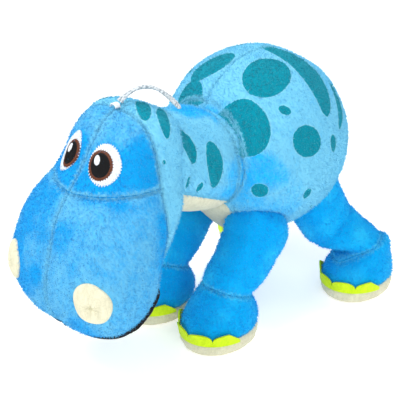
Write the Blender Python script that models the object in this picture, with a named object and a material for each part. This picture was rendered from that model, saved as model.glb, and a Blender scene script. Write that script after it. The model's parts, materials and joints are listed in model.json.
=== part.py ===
"""Stuffed dinosaur: plush skin panels over soft filling, moving head, neck, legs and tail."""
import math

import bmesh
import bpy
from mathutils import Matrix, Vector

# ---------------------------------------------------------------- driving dimensions (metres)
MM = 0.001
ORIGIN_SHIFT = Vector((-0.0045, 0.0473, 0.0))
SKIN = 2.0 * MM
GAP = 0.3 * MM
SEAM = 0.4 * MM
FILL_GAP = 0.5 * MM
REACH = 0.6

TORSO_CENTRE = Vector((0.0, 0.0, 0.142))
TORSO_HALF = Vector((0.077, 0.081, 0.078))
TORSO_AROUND = 20
TORSO_ALONG = 12
BELLY_HALF_WIDTH = 0.032
BELLY_TOP = 0.110
CHEST_BACK = -0.026

NECK_PIVOT = Vector((0.0, -0.048, 0.144))
NECK_BALL_RADIUS = 0.047
NECK_AROUND = 16
NECK_STATIONS = ((0.014, 0.0430, 0.000), (0.030, 0.0420, 0.002), (0.046, 0.0410, 0.006),
                 (0.061, 0.0400, 0.011), (0.080, 0.0385, 0.015))
THROAT_TOP = 0.128

HEAD_PIVOT = Vector((0.0, -0.138, 0.162))
NOD_REACH = (math.radians(-76.0), math.radians(68.0))
NOD_STATIONS = 9
NOD_AROUND = 24
HEAD_AROUND = 20
# height, foremost point, rearmost point, half width, squareness of each level section
HEAD_LEVELS = ((0.206, -0.160, -0.129, 0.025, 2.0),
               (0.197, -0.169, -0.110, 0.037, 2.0),
               (0.184, -0.177, -0.099, 0.043, 2.1),
               (0.172, -0.183, -0.094, 0.045, 2.1),
               (0.158, -0.192, -0.093, 0.048, 2.2),
               (0.142, -0.201, -0.098, 0.055, 2.5),
               (0.124, -0.207, -0.121, 0.061, 2.6),
               (0.104, -0.214, -0.141, 0.065, 2.7),
               (0.086, -0.219, -0.145, 0.065, 2.7),
               (0.070, -0.217, -0.152, 0.059, 2.4),
               (0.057, -0.209, -0.161, 0.045, 2.2))
HEAD_CROWN = Vector((0.0, -0.145, 0.211))
HEAD_CHIN = Vector((0.0, -0.190, 0.047))
FACE_SEAM_Y = -0.149
BROW_SEAM_HEIGHT = 0.154
MOUTH_CORNER_HEIGHT = 0.086
MOUTH_SLOPE = 0.44
MOUTH_WIDTH = 0.006
PATCH_THICKNESS = 1.2 * MM

EYE_CENTRE = Vector((0.018, -0.176, 0.178))
EYE_AIM = Vector((0.42, -0.90, 0.12))
EYE_HALF = (0.0125, 0.0165)
IRIS_SHIFT = (-0.002, -0.002)
IRIS_HALF = (0.0092, 0.0108)
PUPIL_HALF = (0.0062, 0.0076)
GLINT_SHIFT = (-0.002, 0.003)
GLINT_HALF = (0.0024, 0.0032)
EYE_FACETS = 14
PRISM_LENGTH = 0.08
NOSTRIL_CENTRE = Vector((0.043, -0.209, 0.092))
NOSTRIL_AIM = Vector((0.55, -0.78, -0.28))
NOSTRIL_RADIUS = 0.0145
NOSTRIL_HEIGHT = 0.006

POCKET_PLAY = 1.5 * MM
HIP_RADIUS = 0.0265
LEG_AROUND = 14
FRONT_HIP = Vector((0.038, -0.040, 0.082))
HIND_HIP = Vector((0.039, 0.038, 0.084))
FOOT_PLACES = {"front_left": (0.040, -0.076), "front_right": (-0.028, -0.081),
               "hind_left": (0.070, 0.068), "hind_right": (-0.061, 0.074)}
LEG_TUBE = ((0.34, 0.0238), (0.62, 0.0235), (0.86, 0.0220))
ANKLE_RADIUS = 0.0212
# height, half width, half length, and how far the toes reach ahead of the ankle
FOOT_LEVELS = ((0.034, 0.0240, 0.0262, 0.003), (0.024, 0.0268, 0.0315, 0.006),
               (0.0143, 0.0272, 0.0335, 0.007))
# the same figures for the cream sole, from its seam down to the face that it stands on
SOLE_LEVELS = ((0.0137, 0.0272, 0.0335, 0.007), (0.0095, 0.0282, 0.0345, 0.007),
               (0.0045, 0.0268, 0.0330, 0.007), (0.0012, 0.0235, 0.0298, 0.007),
               (0.0, 0.0195, 0.0255, 0.007))
ANKLE_HEIGHT = 0.044
SOLE_HEIGHT = 0.014
CLAW_HEIGHT = 0.009
CLAW_SPREAD = math.radians(80.0)
CLAW_COUNT = 4
CLAW_FELT = 0.0015
CLAW_HALF = (0.0280, 0.0343, 0.0070)

HIP_DOME_DEGREES = (-64, -38, -16, 6)
TAIL_DOME_DEGREES = (-60, -30, 0)
TAIL_PIVOT = Vector((0.0, 0.066, 0.116))
TAIL_BALL_RADIUS = 0.026
TAIL_AROUND = 12
TAIL_STATIONS = ((0.0, 0.080, 0.112, 0.0250), (-0.006, 0.094, 0.104, 0.0215),
                 (-0.017, 0.106, 0.092, 0.0170), (-0.031, 0.113, 0.080, 0.0120),
                 (-0.044, 0.116, 0.072, 0.0070))

CORD_RADIUS = 1.4 * MM
CORD_ROUTE = ((0.0030, -0.1475, 0.2128), (0.0055, -0.1440, 0.2175), (0.0085, -0.1385, 0.2215),
              (0.0120, -0.1320, 0.2230), (0.0160, -0.1260, 0.2210), (0.0200, -0.1205, 0.2160),
              (0.0235, -0.1155, 0.2095), (0.0245, -0.1115, 0.2050), (0.0220, -0.1090, 0.2045),
              (0.0185, -0.1105, 0.2085), (0.0155, -0.1155, 0.2140), (0.0125, -0.1215, 0.2185),
              (0.0085, -0.1285, 0.2205), (0.0045, -0.1355, 0.2195), (0.0010, -0.1420, 0.2160),
              (-0.0010, -0.1468, 0.2125))
TACK_CENTRE = Vector((0.0010, -0.1515, 0.2115))
TACK_SIZE = Vector((0.008, 0.006, 0.003))

COLOURS = {"plush_blue": (0.004, 0.33, 0.80), "printed_blue": (0.20, 0.56, 0.80),
           "cream": (0.76, 0.72, 0.50), "lime": (0.65, 0.83, 0.02), "filling": (0.85, 0.85, 0.84),
           "white_thread": (0.78, 0.80, 0.83), "brown_thread": (0.16, 0.03, 0.01),
           "black_felt": (0.008, 0.008, 0.010), "cord_white": (0.76, 0.79, 0.81)}
ROUGHNESS = {"plush_blue": 0.85, "printed_blue": 0.80, "cream": 0.80, "lime": 0.75, "filling": 0.95,
             "white_thread": 0.45, "brown_thread": 0.45, "black_felt": 0.80, "cord_white": 0.50}


# ---------------------------------------------------------------- helpers
def clear_objects():
    for old in list(bpy.data.objects):
        bpy.data.objects.remove(old, do_unlink=True)


def new_collection(name):
    collection = bpy.data.collections.new(name)
    bpy.context.scene.collection.children.link(collection)
    return collection


def make_material(object_name, finish):
    material = bpy.data.materials.new(object_name + "_" + finish)
    material.use_nodes = True
    shader = material.node_tree.nodes["Principled BSDF"]
    shader.inputs["Base Color"].default_value = (*COLOURS[finish], 1.0)
    shader.inputs["Roughness"].default_value = ROUGHNESS[finish]
    shader.inputs["Metallic"].default_value = 0.0
    material.diffuse_color = (*COLOURS[finish], 1.0)
    return material


def place(mesh, name, finish, joint):
    """Put a world-space mesh into the assembly, hung from the empty on its joint's axis."""
    piece = bpy.data.objects.new(name, mesh)
    mesh.name = name
    mesh.materials.clear()
    mesh.materials.append(make_material(name, finish))
    mesh.shade_smooth()
    mesh.set_sharp_from_angle(angle=math.radians(50.0))
    mesh.transform(Matrix.Translation(-PLACES[joint]))
    parts.objects.link(piece)
    piece.parent = joints[joint]
    return piece


def place_cutter(mesh, name, joint):
    """A cutter hangs from the same empty as the pieces that it cuts, and is never rendered."""
    cutter = bpy.data.objects.new(name, mesh)
    mesh.name = name
    mesh.transform(Matrix.Translation(-PLACES[joint]))
    cutters.objects.link(cutter)
    cutter.parent = joints[joint]
    cutter.hide_render = True
    cutter.display_type = "WIRE"
    return cutter


def cut(piece, cutter, operation="DIFFERENCE"):
    modifier = piece.modifiers.new(operation.lower() + "_" + cutter.name, "BOOLEAN")
    modifier.operation = operation
    modifier.solver = "EXACT"
    modifier.object = cutter


def primitive_mesh(add, **settings):
    """The mesh of one of Blender's primitives, without its object."""
    add(**settings)
    source = bpy.context.object
    mesh = source.data
    bpy.data.objects.remove(source)
    return mesh


def ball_mesh(centre, half, around, along, axis="Z"):
    """An ellipsoid whose poles lie on the given axis."""
    mesh = primitive_mesh(bpy.ops.mesh.primitive_uv_sphere_add, segments=around,
                          ring_count=along, radius=1.0)
    turn = {"X": Matrix.Rotation(math.pi / 2, 4, "Y"), "Y": Matrix.Rotation(math.pi / 2, 4, "X"),
            "Z": Matrix.Identity(4)}[axis]
    mesh.transform(turn)
    mesh.transform(Matrix.Diagonal((*half, 1.0)))
    mesh.transform(Matrix.Translation(centre))
    return mesh


def box_mesh(low, high):
    mesh = primitive_mesh(bpy.ops.mesh.primitive_cube_add, size=1.0)
    mesh.transform(Matrix.Diagonal((*(Vector(high) - Vector(low)), 1.0)))
    mesh.transform(Matrix.Translation((Vector(high) + Vector(low)) / 2))
    return mesh


def loft_mesh(rings, start, end):
    """A closed skin over rings of equal point count, drawn together at a pole on each end."""
    work = bmesh.new()
    rows = [[work.verts.new(point) for point in ring] for ring in rings]
    count = len(rows[0])
    for near, far in zip(rows, rows[1:]):
        for i in range(count):
            j = (i + 1) % count
            work.faces.new((near[i], near[j], far[j], far[i]))
    for pole, row in ((start, rows[0]), (end, rows[-1])):
        tip = work.verts.new(pole)
        for i in range(count):
            work.faces.new((row[i], row[(i + 1) % count], tip))
    bmesh.ops.recalc_face_normals(work, faces=work.faces)
    bmesh.ops.triangulate(work, faces=work.faces)
    mesh = bpy.data.meshes.new("loft")
    work.to_mesh(mesh)
    work.free()
    return mesh


def moved_out(mesh, distance):
    """A copy of a closed mesh with its surface moved outward (or inward where negative)."""
    copy = mesh.copy()
    normals = [vertex.normal.copy() for vertex in copy.vertices]
    for vertex, normal in zip(copy.vertices, normals):
        vertex.co += normal * distance
    return copy


def oval(centre, half_x, half_y, count, squareness=2.0):
    """Points of a level oval, from round (squareness 2) towards a rounded rectangle."""
    points = []
    for i in range(count):
        angle = 2 * math.pi * i / count
        x = math.copysign(abs(math.cos(angle)) ** (2 / squareness), math.cos(angle))
        y = math.copysign(abs(math.sin(angle)) ** (2 / squareness), math.sin(angle))
        points.append(centre + Vector((half_x * x, half_y * y, 0.0)))
    return points


def circle(centre, normal, radius, count):
    """Points of a circle square to the given normal, starting on the side nearest +X."""
    normal = normal.normalized()
    across = (Vector((1.0, 0.0, 0.0)) - normal * normal.x).normalized()
    up = normal.cross(across)
    return [centre + radius * (across * math.cos(2 * math.pi * i / count)
                               + up * math.sin(2 * math.pi * i / count)) for i in range(count)]


def pocket_radius(ball_radius, facets):
    """Radius of a faceted pocket that leaves the gap all round a ball turning in it."""
    return (ball_radius + POCKET_PLAY) / math.cos(math.pi / facets) ** 2


# ---------------------------------------------------------------- body shapes
def torso_shape():
    return ball_mesh(TORSO_CENTRE, TORSO_HALF, TORSO_AROUND, TORSO_ALONG, "Y")


def neck_shape():
    """A ball at the root that turns in the torso, and a tube that reaches into the head."""
    forward = Vector((0.0, -1.0, 0.0))
    rings = []
    for degrees in (-66, -42, -20, 0):
        angle = math.radians(degrees)
        centre = NECK_PIVOT + forward * NECK_BALL_RADIUS * math.sin(angle)
        rings.append(circle(centre, forward, NECK_BALL_RADIUS * math.cos(angle), NECK_AROUND))
    for distance, radius, lift in NECK_STATIONS:
        centre = NECK_PIVOT + forward * distance + Vector((0.0, 0.0, lift))
        rings.append(circle(centre, forward, radius, NECK_AROUND))
    tip = NECK_PIVOT + forward * NECK_STATIONS[-1][0] + Vector((0.0, 0.0, NECK_STATIONS[-1][2]))
    return loft_mesh(rings, NECK_PIVOT - forward * NECK_BALL_RADIUS, tip)


def head_shape():
    """Level sections from the crown down to the chin: a round skull over a drooping snout."""
    rings = []
    for height, front, back, half_width, squareness in HEAD_LEVELS:
        centre = Vector((0.0, (front + back) / 2, height))
        rings.append(oval(centre, half_width, (back - front) / 2, HEAD_AROUND, squareness))
    return loft_mesh(rings, HEAD_CROWN, HEAD_CHIN)


def head_reach(across):
    """How far the back of the head stands off the nod axis, at a distance across from the middle."""
    reach = 0.0
    for upper, lower in zip(HEAD_LEVELS, HEAD_LEVELS[1:]):
        for step in range(5):
            height, front, back, half_width, squareness = (
                a + (b - a) * step / 4 for a, b in zip(upper, lower))
            if across >= half_width:
                continue
            bulge = (1 - (across / half_width) ** squareness) ** (1 / squareness)
            y = (front + back) / 2 + (back - front) / 2 * bulge - HEAD_PIVOT.y
            z = height - HEAD_PIVOT.z
            if NOD_REACH[0] < math.atan2(z, y) < NOD_REACH[1]:
                reach = max(reach, math.hypot(y, z))
    return reach


def nod_cup_shape():
    """The room that the back of the head needs as it nods: a turned solid round the nod axis."""
    widest = max(level[3] for level in HEAD_LEVELS[:6])
    stations = [widest * math.sin(math.pi / 2 * i / NOD_STATIONS) for i in range(NOD_STATIONS)]
    rings = []
    for across in [-value for value in reversed(stations[1:])] + stations:
        radius = (head_reach(abs(across)) + POCKET_PLAY) / math.cos(math.pi / NOD_AROUND)
        centre = HEAD_PIVOT + Vector((across, 0.0, 0.0))
        rings.append([centre + Vector((0.0, radius * math.cos(2 * math.pi * i / NOD_AROUND),
                                       radius * math.sin(2 * math.pi * i / NOD_AROUND)))
                      for i in range(NOD_AROUND)])
    end = Vector((widest + POCKET_PLAY, 0.0, 0.0))
    return loft_mesh(rings, HEAD_PIVOT - end, HEAD_PIVOT + end)


def leg_frame(name):
    """Hip, ankle and foot centre of one leg."""
    hip = (FRONT_HIP if name.startswith("front") else HIND_HIP).copy()
    if name.endswith("right"):
        hip.x = -hip.x
    x, y = FOOT_PLACES[name]
    ankle = Vector((x, y, ANKLE_HEIGHT))
    return hip, ankle, Vector((x, y, SOLE_HEIGHT))


def foot_ring(name, height, half_wide, half_long, toe):
    """A level oval round one foot, longer towards its toes, in the sense of the leg's circles."""
    x, y = FOOT_PLACES[name]
    points = oval(Vector((x, y - toe, height)), half_wide, half_long, LEG_AROUND)
    return [points[-i % LEG_AROUND] for i in range(LEG_AROUND)]


def leg_shape(name):
    """A ball at the hip, a tapering tube to the ankle, and a foot that swells to the toes."""
    hip, ankle, foot = leg_frame(name)
    down = (ankle - hip).normalized()
    length = (ankle - hip).length
    rings = []
    for degrees in HIP_DOME_DEGREES:
        angle = math.radians(degrees)
        rings.append(circle(hip + down * HIP_RADIUS * math.sin(angle), down,
                            HIP_RADIUS * math.cos(angle), LEG_AROUND))
    for share, radius in LEG_TUBE:
        normal = down.lerp(Vector((0.0, 0.0, -1.0)), share)
        rings.append(circle(hip + down * length * share, normal, radius, LEG_AROUND))
    rings.append(circle(ankle, Vector((0.0, 0.0, -1.0)), ANKLE_RADIUS, LEG_AROUND))
    for height, half_wide, half_long, toe in FOOT_LEVELS:
        rings.append(foot_ring(name, height, half_wide, half_long, toe))
    return loft_mesh(rings, hip - down * HIP_RADIUS, foot + Vector((0.0, 0.0, GAP)))


def tail_shape():
    """A ball at the root, then a taper that curls to the animal's right."""
    spine = [Vector(station[:3]) for station in TAIL_STATIONS]
    away = (spine[0] - TAIL_PIVOT).normalized()
    rings = []
    for degrees in TAIL_DOME_DEGREES:
        angle = math.radians(degrees)
        rings.append(circle(TAIL_PIVOT + away * TAIL_BALL_RADIUS * math.sin(angle), away,
                            TAIL_BALL_RADIUS * math.cos(angle), TAIL_AROUND))
    for i, point in enumerate(spine):
        ahead = spine[min(i + 1, len(spine) - 1)] - spine[max(i - 1, 0)]
        rings.append(circle(point, ahead, TAIL_STATIONS[i][3], TAIL_AROUND))
    tip = spine[-1] + (spine[-1] - spine[-2]).normalized() * TAIL_STATIONS[-1][3] * 0.8
    return loft_mesh(rings, TAIL_PIVOT - away * TAIL_BALL_RADIUS, tip)


def sole_shape(name):
    """A puffed pad with a flat face underneath."""
    rings = [foot_ring(name, *level) for level in SOLE_LEVELS]
    top = sum(rings[0], Vector()) / LEG_AROUND
    return loft_mesh(rings, top, Vector((top.x, top.y, 0.0)))


def claws_shape(name):
    """A felt band round the toes, cut in scallops along its upper edge."""
    work = bmesh.new()
    steps = 16
    low, high = SOLE_HEIGHT + 2 * GAP, SOLE_HEIGHT + CLAW_HEIGHT
    x, y = FOOT_PLACES[name]
    sections = []
    for i in range(steps + 1):
        share = i / steps
        angle = -math.pi / 2 + CLAW_SPREAD * (2 * share - 1)
        scallop = abs(math.sin(math.pi * CLAW_COUNT * share)) ** 0.5
        top = low + (high - low) * (0.35 + 0.65 * scallop)
        section = []
        for height, away in ((low, 0.0), (low, CLAW_FELT), (top, CLAW_FELT), (top, 0.0)):
            reach = Vector((math.cos(angle) * (CLAW_HALF[0] + away),
                            math.sin(angle) * (CLAW_HALF[1] + away) - CLAW_HALF[2], 0.0))
            section.append(work.verts.new(Vector((x, y, height)) + reach))
        sections.append(section)
    for near, far in zip(sections, sections[1:]):
        for i in range(4):
            j = (i + 1) % 4
            work.faces.new((near[i], near[j], far[j], far[i]))
    work.faces.new(sections[0])
    work.faces.new(sections[-1])
    bmesh.ops.recalc_face_normals(work, faces=work.faces)
    mesh = bpy.data.meshes.new("claws")
    work.to_mesh(mesh)
    work.free()
    return mesh


def prism_mesh(centre, aim, half_wide, half_high, count):
    """An oval prism that starts inside the head and points outward along the aim."""
    mesh = primitive_mesh(bpy.ops.mesh.primitive_cylinder_add, vertices=count, radius=1.0, depth=1.0)
    mesh.transform(Matrix.Translation((0.0, 0.0, 0.5)))
    mesh.transform(Matrix.Diagonal((half_wide, half_high, PRISM_LENGTH, 1.0)))
    mesh.transform(aim_matrix(aim))
    mesh.transform(Matrix.Translation(centre - aim.normalized() * PRISM_LENGTH / 2))
    return mesh


def aim_matrix(aim):
    """Turns +Z to the aim and keeps +Y as near upright as it can be."""
    out = aim.normalized()
    side = Vector((0.0, 0.0, 1.0)).cross(out).normalized()
    return Matrix((side, out.cross(side), out)).transposed().to_4x4()


def mirrored(vector, side):
    return Vector((vector.x * side, vector.y, vector.z))


def tube_mesh(name, route, radius):
    curve = bpy.data.curves.new(name, "CURVE")
    curve.dimensions = "3D"
    curve.bevel_depth = radius
    curve.bevel_resolution = 2
    curve.use_fill_caps = True
    spline = curve.splines.new("POLY")
    spline.points.add(len(route) - 1)
    for point, place_on_route in zip(spline.points, route):
        point.co = (*place_on_route, 1.0)
    source = bpy.data.objects.new(name, curve)
    parts.objects.link(source)
    bpy.context.view_layer.update()
    mesh = bpy.data.meshes.new_from_object(source.evaluated_get(bpy.context.evaluated_depsgraph_get()))
    bpy.data.objects.remove(source)
    work = bmesh.new()
    work.from_mesh(mesh)
    bmesh.ops.remove_doubles(work, verts=work.verts, dist=0.01 * MM)
    work.to_mesh(mesh)
    work.free()
    return mesh


# ---------------------------------------------------------------- assembly
def build_joints():
    """Empties on the joint axes: the torso holds the neck, the legs and the tail."""
    for name, parent in (("torso", None), ("neck", "torso"), ("head", "neck"), ("tail", "torso"),
                         ("front_left", "torso"), ("front_right", "torso"),
                         ("hind_left", "torso"), ("hind_right", "torso")):
        empty = bpy.data.objects.new(name + "_joint", None)
        empty.empty_display_size = 0.02
        parts.objects.link(empty)
        joints[name] = empty
        if parent:
            empty.parent = joints[parent]
            empty.location = PLACES[name] - PLACES[parent]
        else:
            empty.location = PLACES[name]


def build_torso():
    outer = torso_shape()
    hollow = place_cutter(moved_out(outer, -SKIN), "torso_hollow", "torso")
    belly = box_mesh((-BELLY_HALF_WIDTH, -REACH, -REACH), (BELLY_HALF_WIDTH, REACH, BELLY_TOP))
    belly_zone = place_cutter(moved_box(belly, -SEAM / 2), "belly_zone", "torso")
    belly_clear = place_cutter(moved_box(belly, SEAM / 2), "belly_clearance", "torso")
    chest_zone = place_cutter(box_mesh((-REACH, -REACH, -REACH), (REACH, CHEST_BACK - SEAM / 2, REACH)),
                              "chest_zone", "torso")
    chest_clear = place_cutter(box_mesh((-REACH, -REACH, -REACH), (REACH, CHEST_BACK + SEAM / 2, REACH)),
                               "chest_clearance", "torso")
    pockets = {}
    for name, radius, facets in (("neck", NECK_BALL_RADIUS, NECK_AROUND), ("tail", TAIL_BALL_RADIUS, 14),
                                 ("front_left", HIP_RADIUS, 14), ("front_right", HIP_RADIUS, 14),
                                 ("hind_left", HIP_RADIUS, 14), ("hind_right", HIP_RADIUS, 14)):
        wide = pocket_radius(radius, facets)
        pocket = ball_mesh(PLACES[name], (wide, wide, wide), facets, facets // 2 + 1, "X")
        pockets[name] = place_cutter(pocket, name + "_pocket", "torso")
    for side, sign in (("left", 1), ("right", -1)):
        half = place_cutter(half_space(sign), side + "_half_of_torso", "torso")
        panel = place(outer.copy(), "back_panel_" + side, "printed_blue", "torso")
        cut(panel, hollow)
        cut(panel, half, "INTERSECT")
        cut(panel, belly_clear)
        for name in ("neck", "tail", "front_" + side, "hind_" + side):
            cut(panel, pockets[name])
    for name, finish in (("chest_panel", "cream"), ("belly_panel", "plush_blue")):
        panel = place(outer.copy(), name, finish, "torso")
        cut(panel, hollow)
        cut(panel, belly_zone, "INTERSECT")
        if name == "chest_panel":
            cut(panel, chest_zone, "INTERSECT")
        else:
            cut(panel, chest_clear)
        for pocket in pockets.values():
            cut(panel, pocket)
    filling = place(moved_out(outer, -SKIN - FILL_GAP), "torso_filling", "filling", "torso")
    for pocket in pockets.values():
        cut(filling, pocket)


def moved_box(mesh, distance):
    """A copy of a box with every face moved outward by the distance."""
    copy = mesh.copy()
    centre = sum((vertex.co for vertex in copy.vertices), Vector()) / 8
    for vertex in copy.vertices:
        for axis in range(3):
            vertex.co[axis] += math.copysign(distance, vertex.co[axis] - centre[axis])
    return copy


def half_space(sign):
    """Everything on one side of the animal's middle plane, less half a seam."""
    near, far = SEAM / 2, REACH
    low = min(sign * near, sign * far)
    high = max(sign * near, sign * far)
    return box_mesh((low, -REACH, -REACH), (high, REACH, REACH))


def build_neck():
    outer = neck_shape()
    hollow = place_cutter(moved_out(outer, -SKIN), "neck_hollow", "neck")
    cup = place_cutter(nod_cup_shape(), "head_cup", "neck")
    throat = box_mesh((-REACH, -REACH, -REACH), (REACH, REACH, THROAT_TOP))
    throat_zone = place_cutter(moved_box(throat, -SEAM / 2), "throat_zone", "neck")
    throat_clear = place_cutter(moved_box(throat, SEAM / 2), "throat_clearance", "neck")
    for side, sign in (("left", 1), ("right", -1)):
        half = place_cutter(half_space(sign), side + "_half_of_neck", "neck")
        panel = place(outer.copy(), "neck_panel_" + side, "printed_blue", "neck")
        cut(panel, hollow)
        cut(panel, half, "INTERSECT")
        cut(panel, throat_clear)
        cut(panel, cup)
    panel = place(outer.copy(), "throat_panel", "cream", "neck")
    cut(panel, hollow)
    cut(panel, throat_zone, "INTERSECT")
    cut(panel, cup)
    filling = place(moved_out(outer, -SKIN - FILL_GAP), "neck_filling", "filling", "neck")
    cut(filling, cup)


def build_head():
    outer = head_shape()
    hollow = place_cutter(moved_out(outer, -SKIN), "head_hollow", "head")
    face_front = box_mesh((-REACH, -REACH, -REACH), (REACH, FACE_SEAM_Y - SEAM / 2, REACH))
    face_zone = place_cutter(lean_below(face_front), "face_zone", "head")
    face_back = box_mesh((-REACH, -REACH, -REACH), (REACH, FACE_SEAM_Y + SEAM / 2, REACH))
    face_clear = place_cutter(lean_below(face_back), "face_clearance", "head")
    brow_zone = place_cutter(box_mesh((-REACH, -REACH, BROW_SEAM_HEIGHT + SEAM / 2), (REACH, REACH, REACH)),
                             "brow_zone", "head")
    corner = (REACH, REACH, REACH)
    brow_clear = place_cutter(box_mesh((-REACH, -REACH, BROW_SEAM_HEIGHT - SEAM / 2), corner),
                              "brow_clearance", "head")
    jaw_zone = place_cutter(box_mesh((-REACH, -REACH, MOUTH_CORNER_HEIGHT + SEAM / 2), corner),
                            "jaw_zone", "head")
    jaw_clear = place_cutter(box_mesh((-REACH, -REACH, MOUTH_CORNER_HEIGHT - SEAM / 2), corner),
                             "jaw_clearance", "head")
    chin = place(outer.copy(), "chin_panel", "plush_blue", "head")
    cut(chin, hollow)
    cut(chin, face_clear)
    cut(chin, jaw_clear)
    for side, sign in (("left", 1), ("right", -1)):
        half = place_cutter(half_space(sign), side + "_half_of_head", "head")
        for name, finish in (("brow_panel_", "plush_blue"), ("snout_panel_", "plush_blue"),
                             ("nape_panel_", "printed_blue")):
            panel = place(outer.copy(), name + side, finish, "head")
            cut(panel, hollow)
            cut(panel, half, "INTERSECT")
            if name == "nape_panel_":
                cut(panel, face_clear)
                cut(panel, jaw_zone, "INTERSECT")
            else:
                cut(panel, face_zone, "INTERSECT")
            if name == "brow_panel_":
                cut(panel, brow_zone, "INTERSECT")
            if name == "snout_panel_":
                cut(panel, brow_clear)
    place(moved_out(outer, -SKIN - FILL_GAP), "head_filling", "filling", "head")
    build_face(outer)


def lean_below(mesh):
    """Tilt a box's rear face forward below the corners of the mouth."""
    work = bmesh.new()
    work.from_mesh(mesh)
    corner = Vector((0.0, 0.0, MOUTH_CORNER_HEIGHT))
    bmesh.ops.bisect_plane(work, geom=work.verts[:] + work.edges[:] + work.faces[:], plane_co=corner,
                           plane_no=(0.0, 0.0, 1.0))
    for vertex in work.verts:
        if vertex.co.y > -REACH / 2 and vertex.co.z < MOUTH_CORNER_HEIGHT - MM:
            vertex.co.y -= MOUTH_SLOPE * (MOUTH_CORNER_HEIGHT - vertex.co.z)
    work.to_mesh(mesh)
    work.free()
    return mesh


def build_face(outer):
    """Embroidered eyes, gathered nostrils and the mouth line, all lying on the skin."""
    clear = place_cutter(moved_out(outer, FILL_GAP), "skin_clearance", "head")
    raised = moved_out(outer, FILL_GAP + PATCH_THICKNESS)
    for side, sign in (("left", 1), ("right", -1)):
        centre = mirrored(EYE_CENTRE, sign)
        aim = mirrored(EYE_AIM, sign)
        frame = aim_matrix(aim).to_3x3()
        inward = -sign
        iris_at = centre + frame @ Vector((IRIS_SHIFT[0] * inward, IRIS_SHIFT[1], 0.0))
        glint_at = iris_at + frame @ Vector((GLINT_SHIFT[0], GLINT_SHIFT[1], 0.0))
        layers = (("sclera_", "white_thread", centre, EYE_HALF),
                  ("iris_", "brown_thread", iris_at, IRIS_HALF),
                  ("pupil_", "black_felt", iris_at, PUPIL_HALF),
                  ("glint_", "white_thread", glint_at, GLINT_HALF))
        for index, (name, finish, middle, half) in enumerate(layers):
            patch = place(raised.copy(), name + side, finish, "head")
            edge = place_cutter(prism_mesh(middle, aim, *half, EYE_FACETS), name + "edge_" + side, "head")
            cut(patch, edge, "INTERSECT")
            cut(patch, clear)
            if index + 1 < len(layers):
                inner_half = [value + GAP for value in layers[index + 1][3]]
                hole = prism_mesh(layers[index + 1][2], aim, *inner_half, EYE_FACETS)
                cut(patch, place_cutter(hole, name + "hole_" + side, "head"))
        spot = mirrored(NOSTRIL_CENTRE, sign)
        button = ball_mesh(Vector(), (NOSTRIL_RADIUS, NOSTRIL_RADIUS, NOSTRIL_HEIGHT), 14, 8)
        button.transform(aim_matrix(mirrored(NOSTRIL_AIM, sign)))
        button.transform(Matrix.Translation(spot))
        nostril = place(button, "nostril_" + side, "cream", "head")
        cut(nostril, clear)
    band = box_mesh((-REACH, FACE_SEAM_Y - MOUTH_WIDTH, -REACH), (REACH, FACE_SEAM_Y, REACH))
    mouth_zone = place_cutter(lean_band(band), "mouth_zone", "head")
    mouth = place(raised.copy(), "mouth_line", "black_felt", "head")
    cut(mouth, mouth_zone, "INTERSECT")
    cut(mouth, clear)
    tack = box_mesh(TACK_CENTRE - TACK_SIZE / 2, TACK_CENTRE + TACK_SIZE / 2)
    place(tack, "loop_bar_tack", "white_thread", "head")
    place(tube_mesh("hang_loop", CORD_ROUTE, CORD_RADIUS), "hang_loop", "cord_white", "head")
    bpy.data.meshes.remove(raised)


def lean_band(mesh):
    """Keep only the part of the mouth band below its corners, leaning forward with the seam."""
    for vertex in mesh.vertices:
        vertex.co.z = min(vertex.co.z, MOUTH_CORNER_HEIGHT)
        vertex.co.y -= MOUTH_SLOPE * (MOUTH_CORNER_HEIGHT - vertex.co.z)
    return mesh


def build_legs():
    above = box_mesh((-REACH, -REACH, ANKLE_HEIGHT + SEAM / 2), (REACH, REACH, REACH))
    shared = box_mesh((-REACH, -REACH, ANKLE_HEIGHT - SEAM / 2), (REACH, REACH, REACH))
    for name in FOOT_PLACES:
        outer = leg_shape(name)
        hollow = place_cutter(moved_out(outer, -SKIN), name + "_hollow", name)
        ankle_zone = place_cutter(above.copy(), name + "_ankle_zone", name)
        ankle_clear = place_cutter(shared.copy(), name + "_ankle_clearance", name)
        sleeve = place(outer.copy(), name + "_leg_sleeve", "plush_blue", name)
        cut(sleeve, hollow)
        cut(sleeve, ankle_zone, "INTERSECT")
        foot = place(outer.copy(), name + "_foot_upper", "plush_blue", name)
        cut(foot, hollow)
        cut(foot, ankle_clear)
        place(moved_out(outer, -SKIN - FILL_GAP), name + "_leg_filling", "filling", name)
        place(sole_shape(name), name + "_sole", "cream", name)
        place(claws_shape(name), name + "_claws", "lime", name)


def build_tail():
    outer = tail_shape()
    hollow = place_cutter(moved_out(outer, -SKIN), "tail_hollow", "tail")
    for side, sign in (("upper", 1), ("lower", -1)):
        reach = box_mesh((-REACH, -REACH, SEAM / 2), (REACH, REACH, REACH))
        if sign < 0:
            reach = box_mesh((-REACH, -REACH, -REACH), (REACH, REACH, -SEAM / 2))
        reach.transform(TAIL_SEAM_TILT)
        reach.transform(Matrix.Translation(PLACES["tail"]))
        zone = place_cutter(reach, "tail_" + side + "_zone", "tail")
        panel = place(outer.copy(), "tail_panel_" + side, "printed_blue", "tail")
        cut(panel, hollow)
        cut(panel, zone, "INTERSECT")
    place(moved_out(outer, -SKIN - FILL_GAP), "tail_filling", "filling", "tail")


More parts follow.
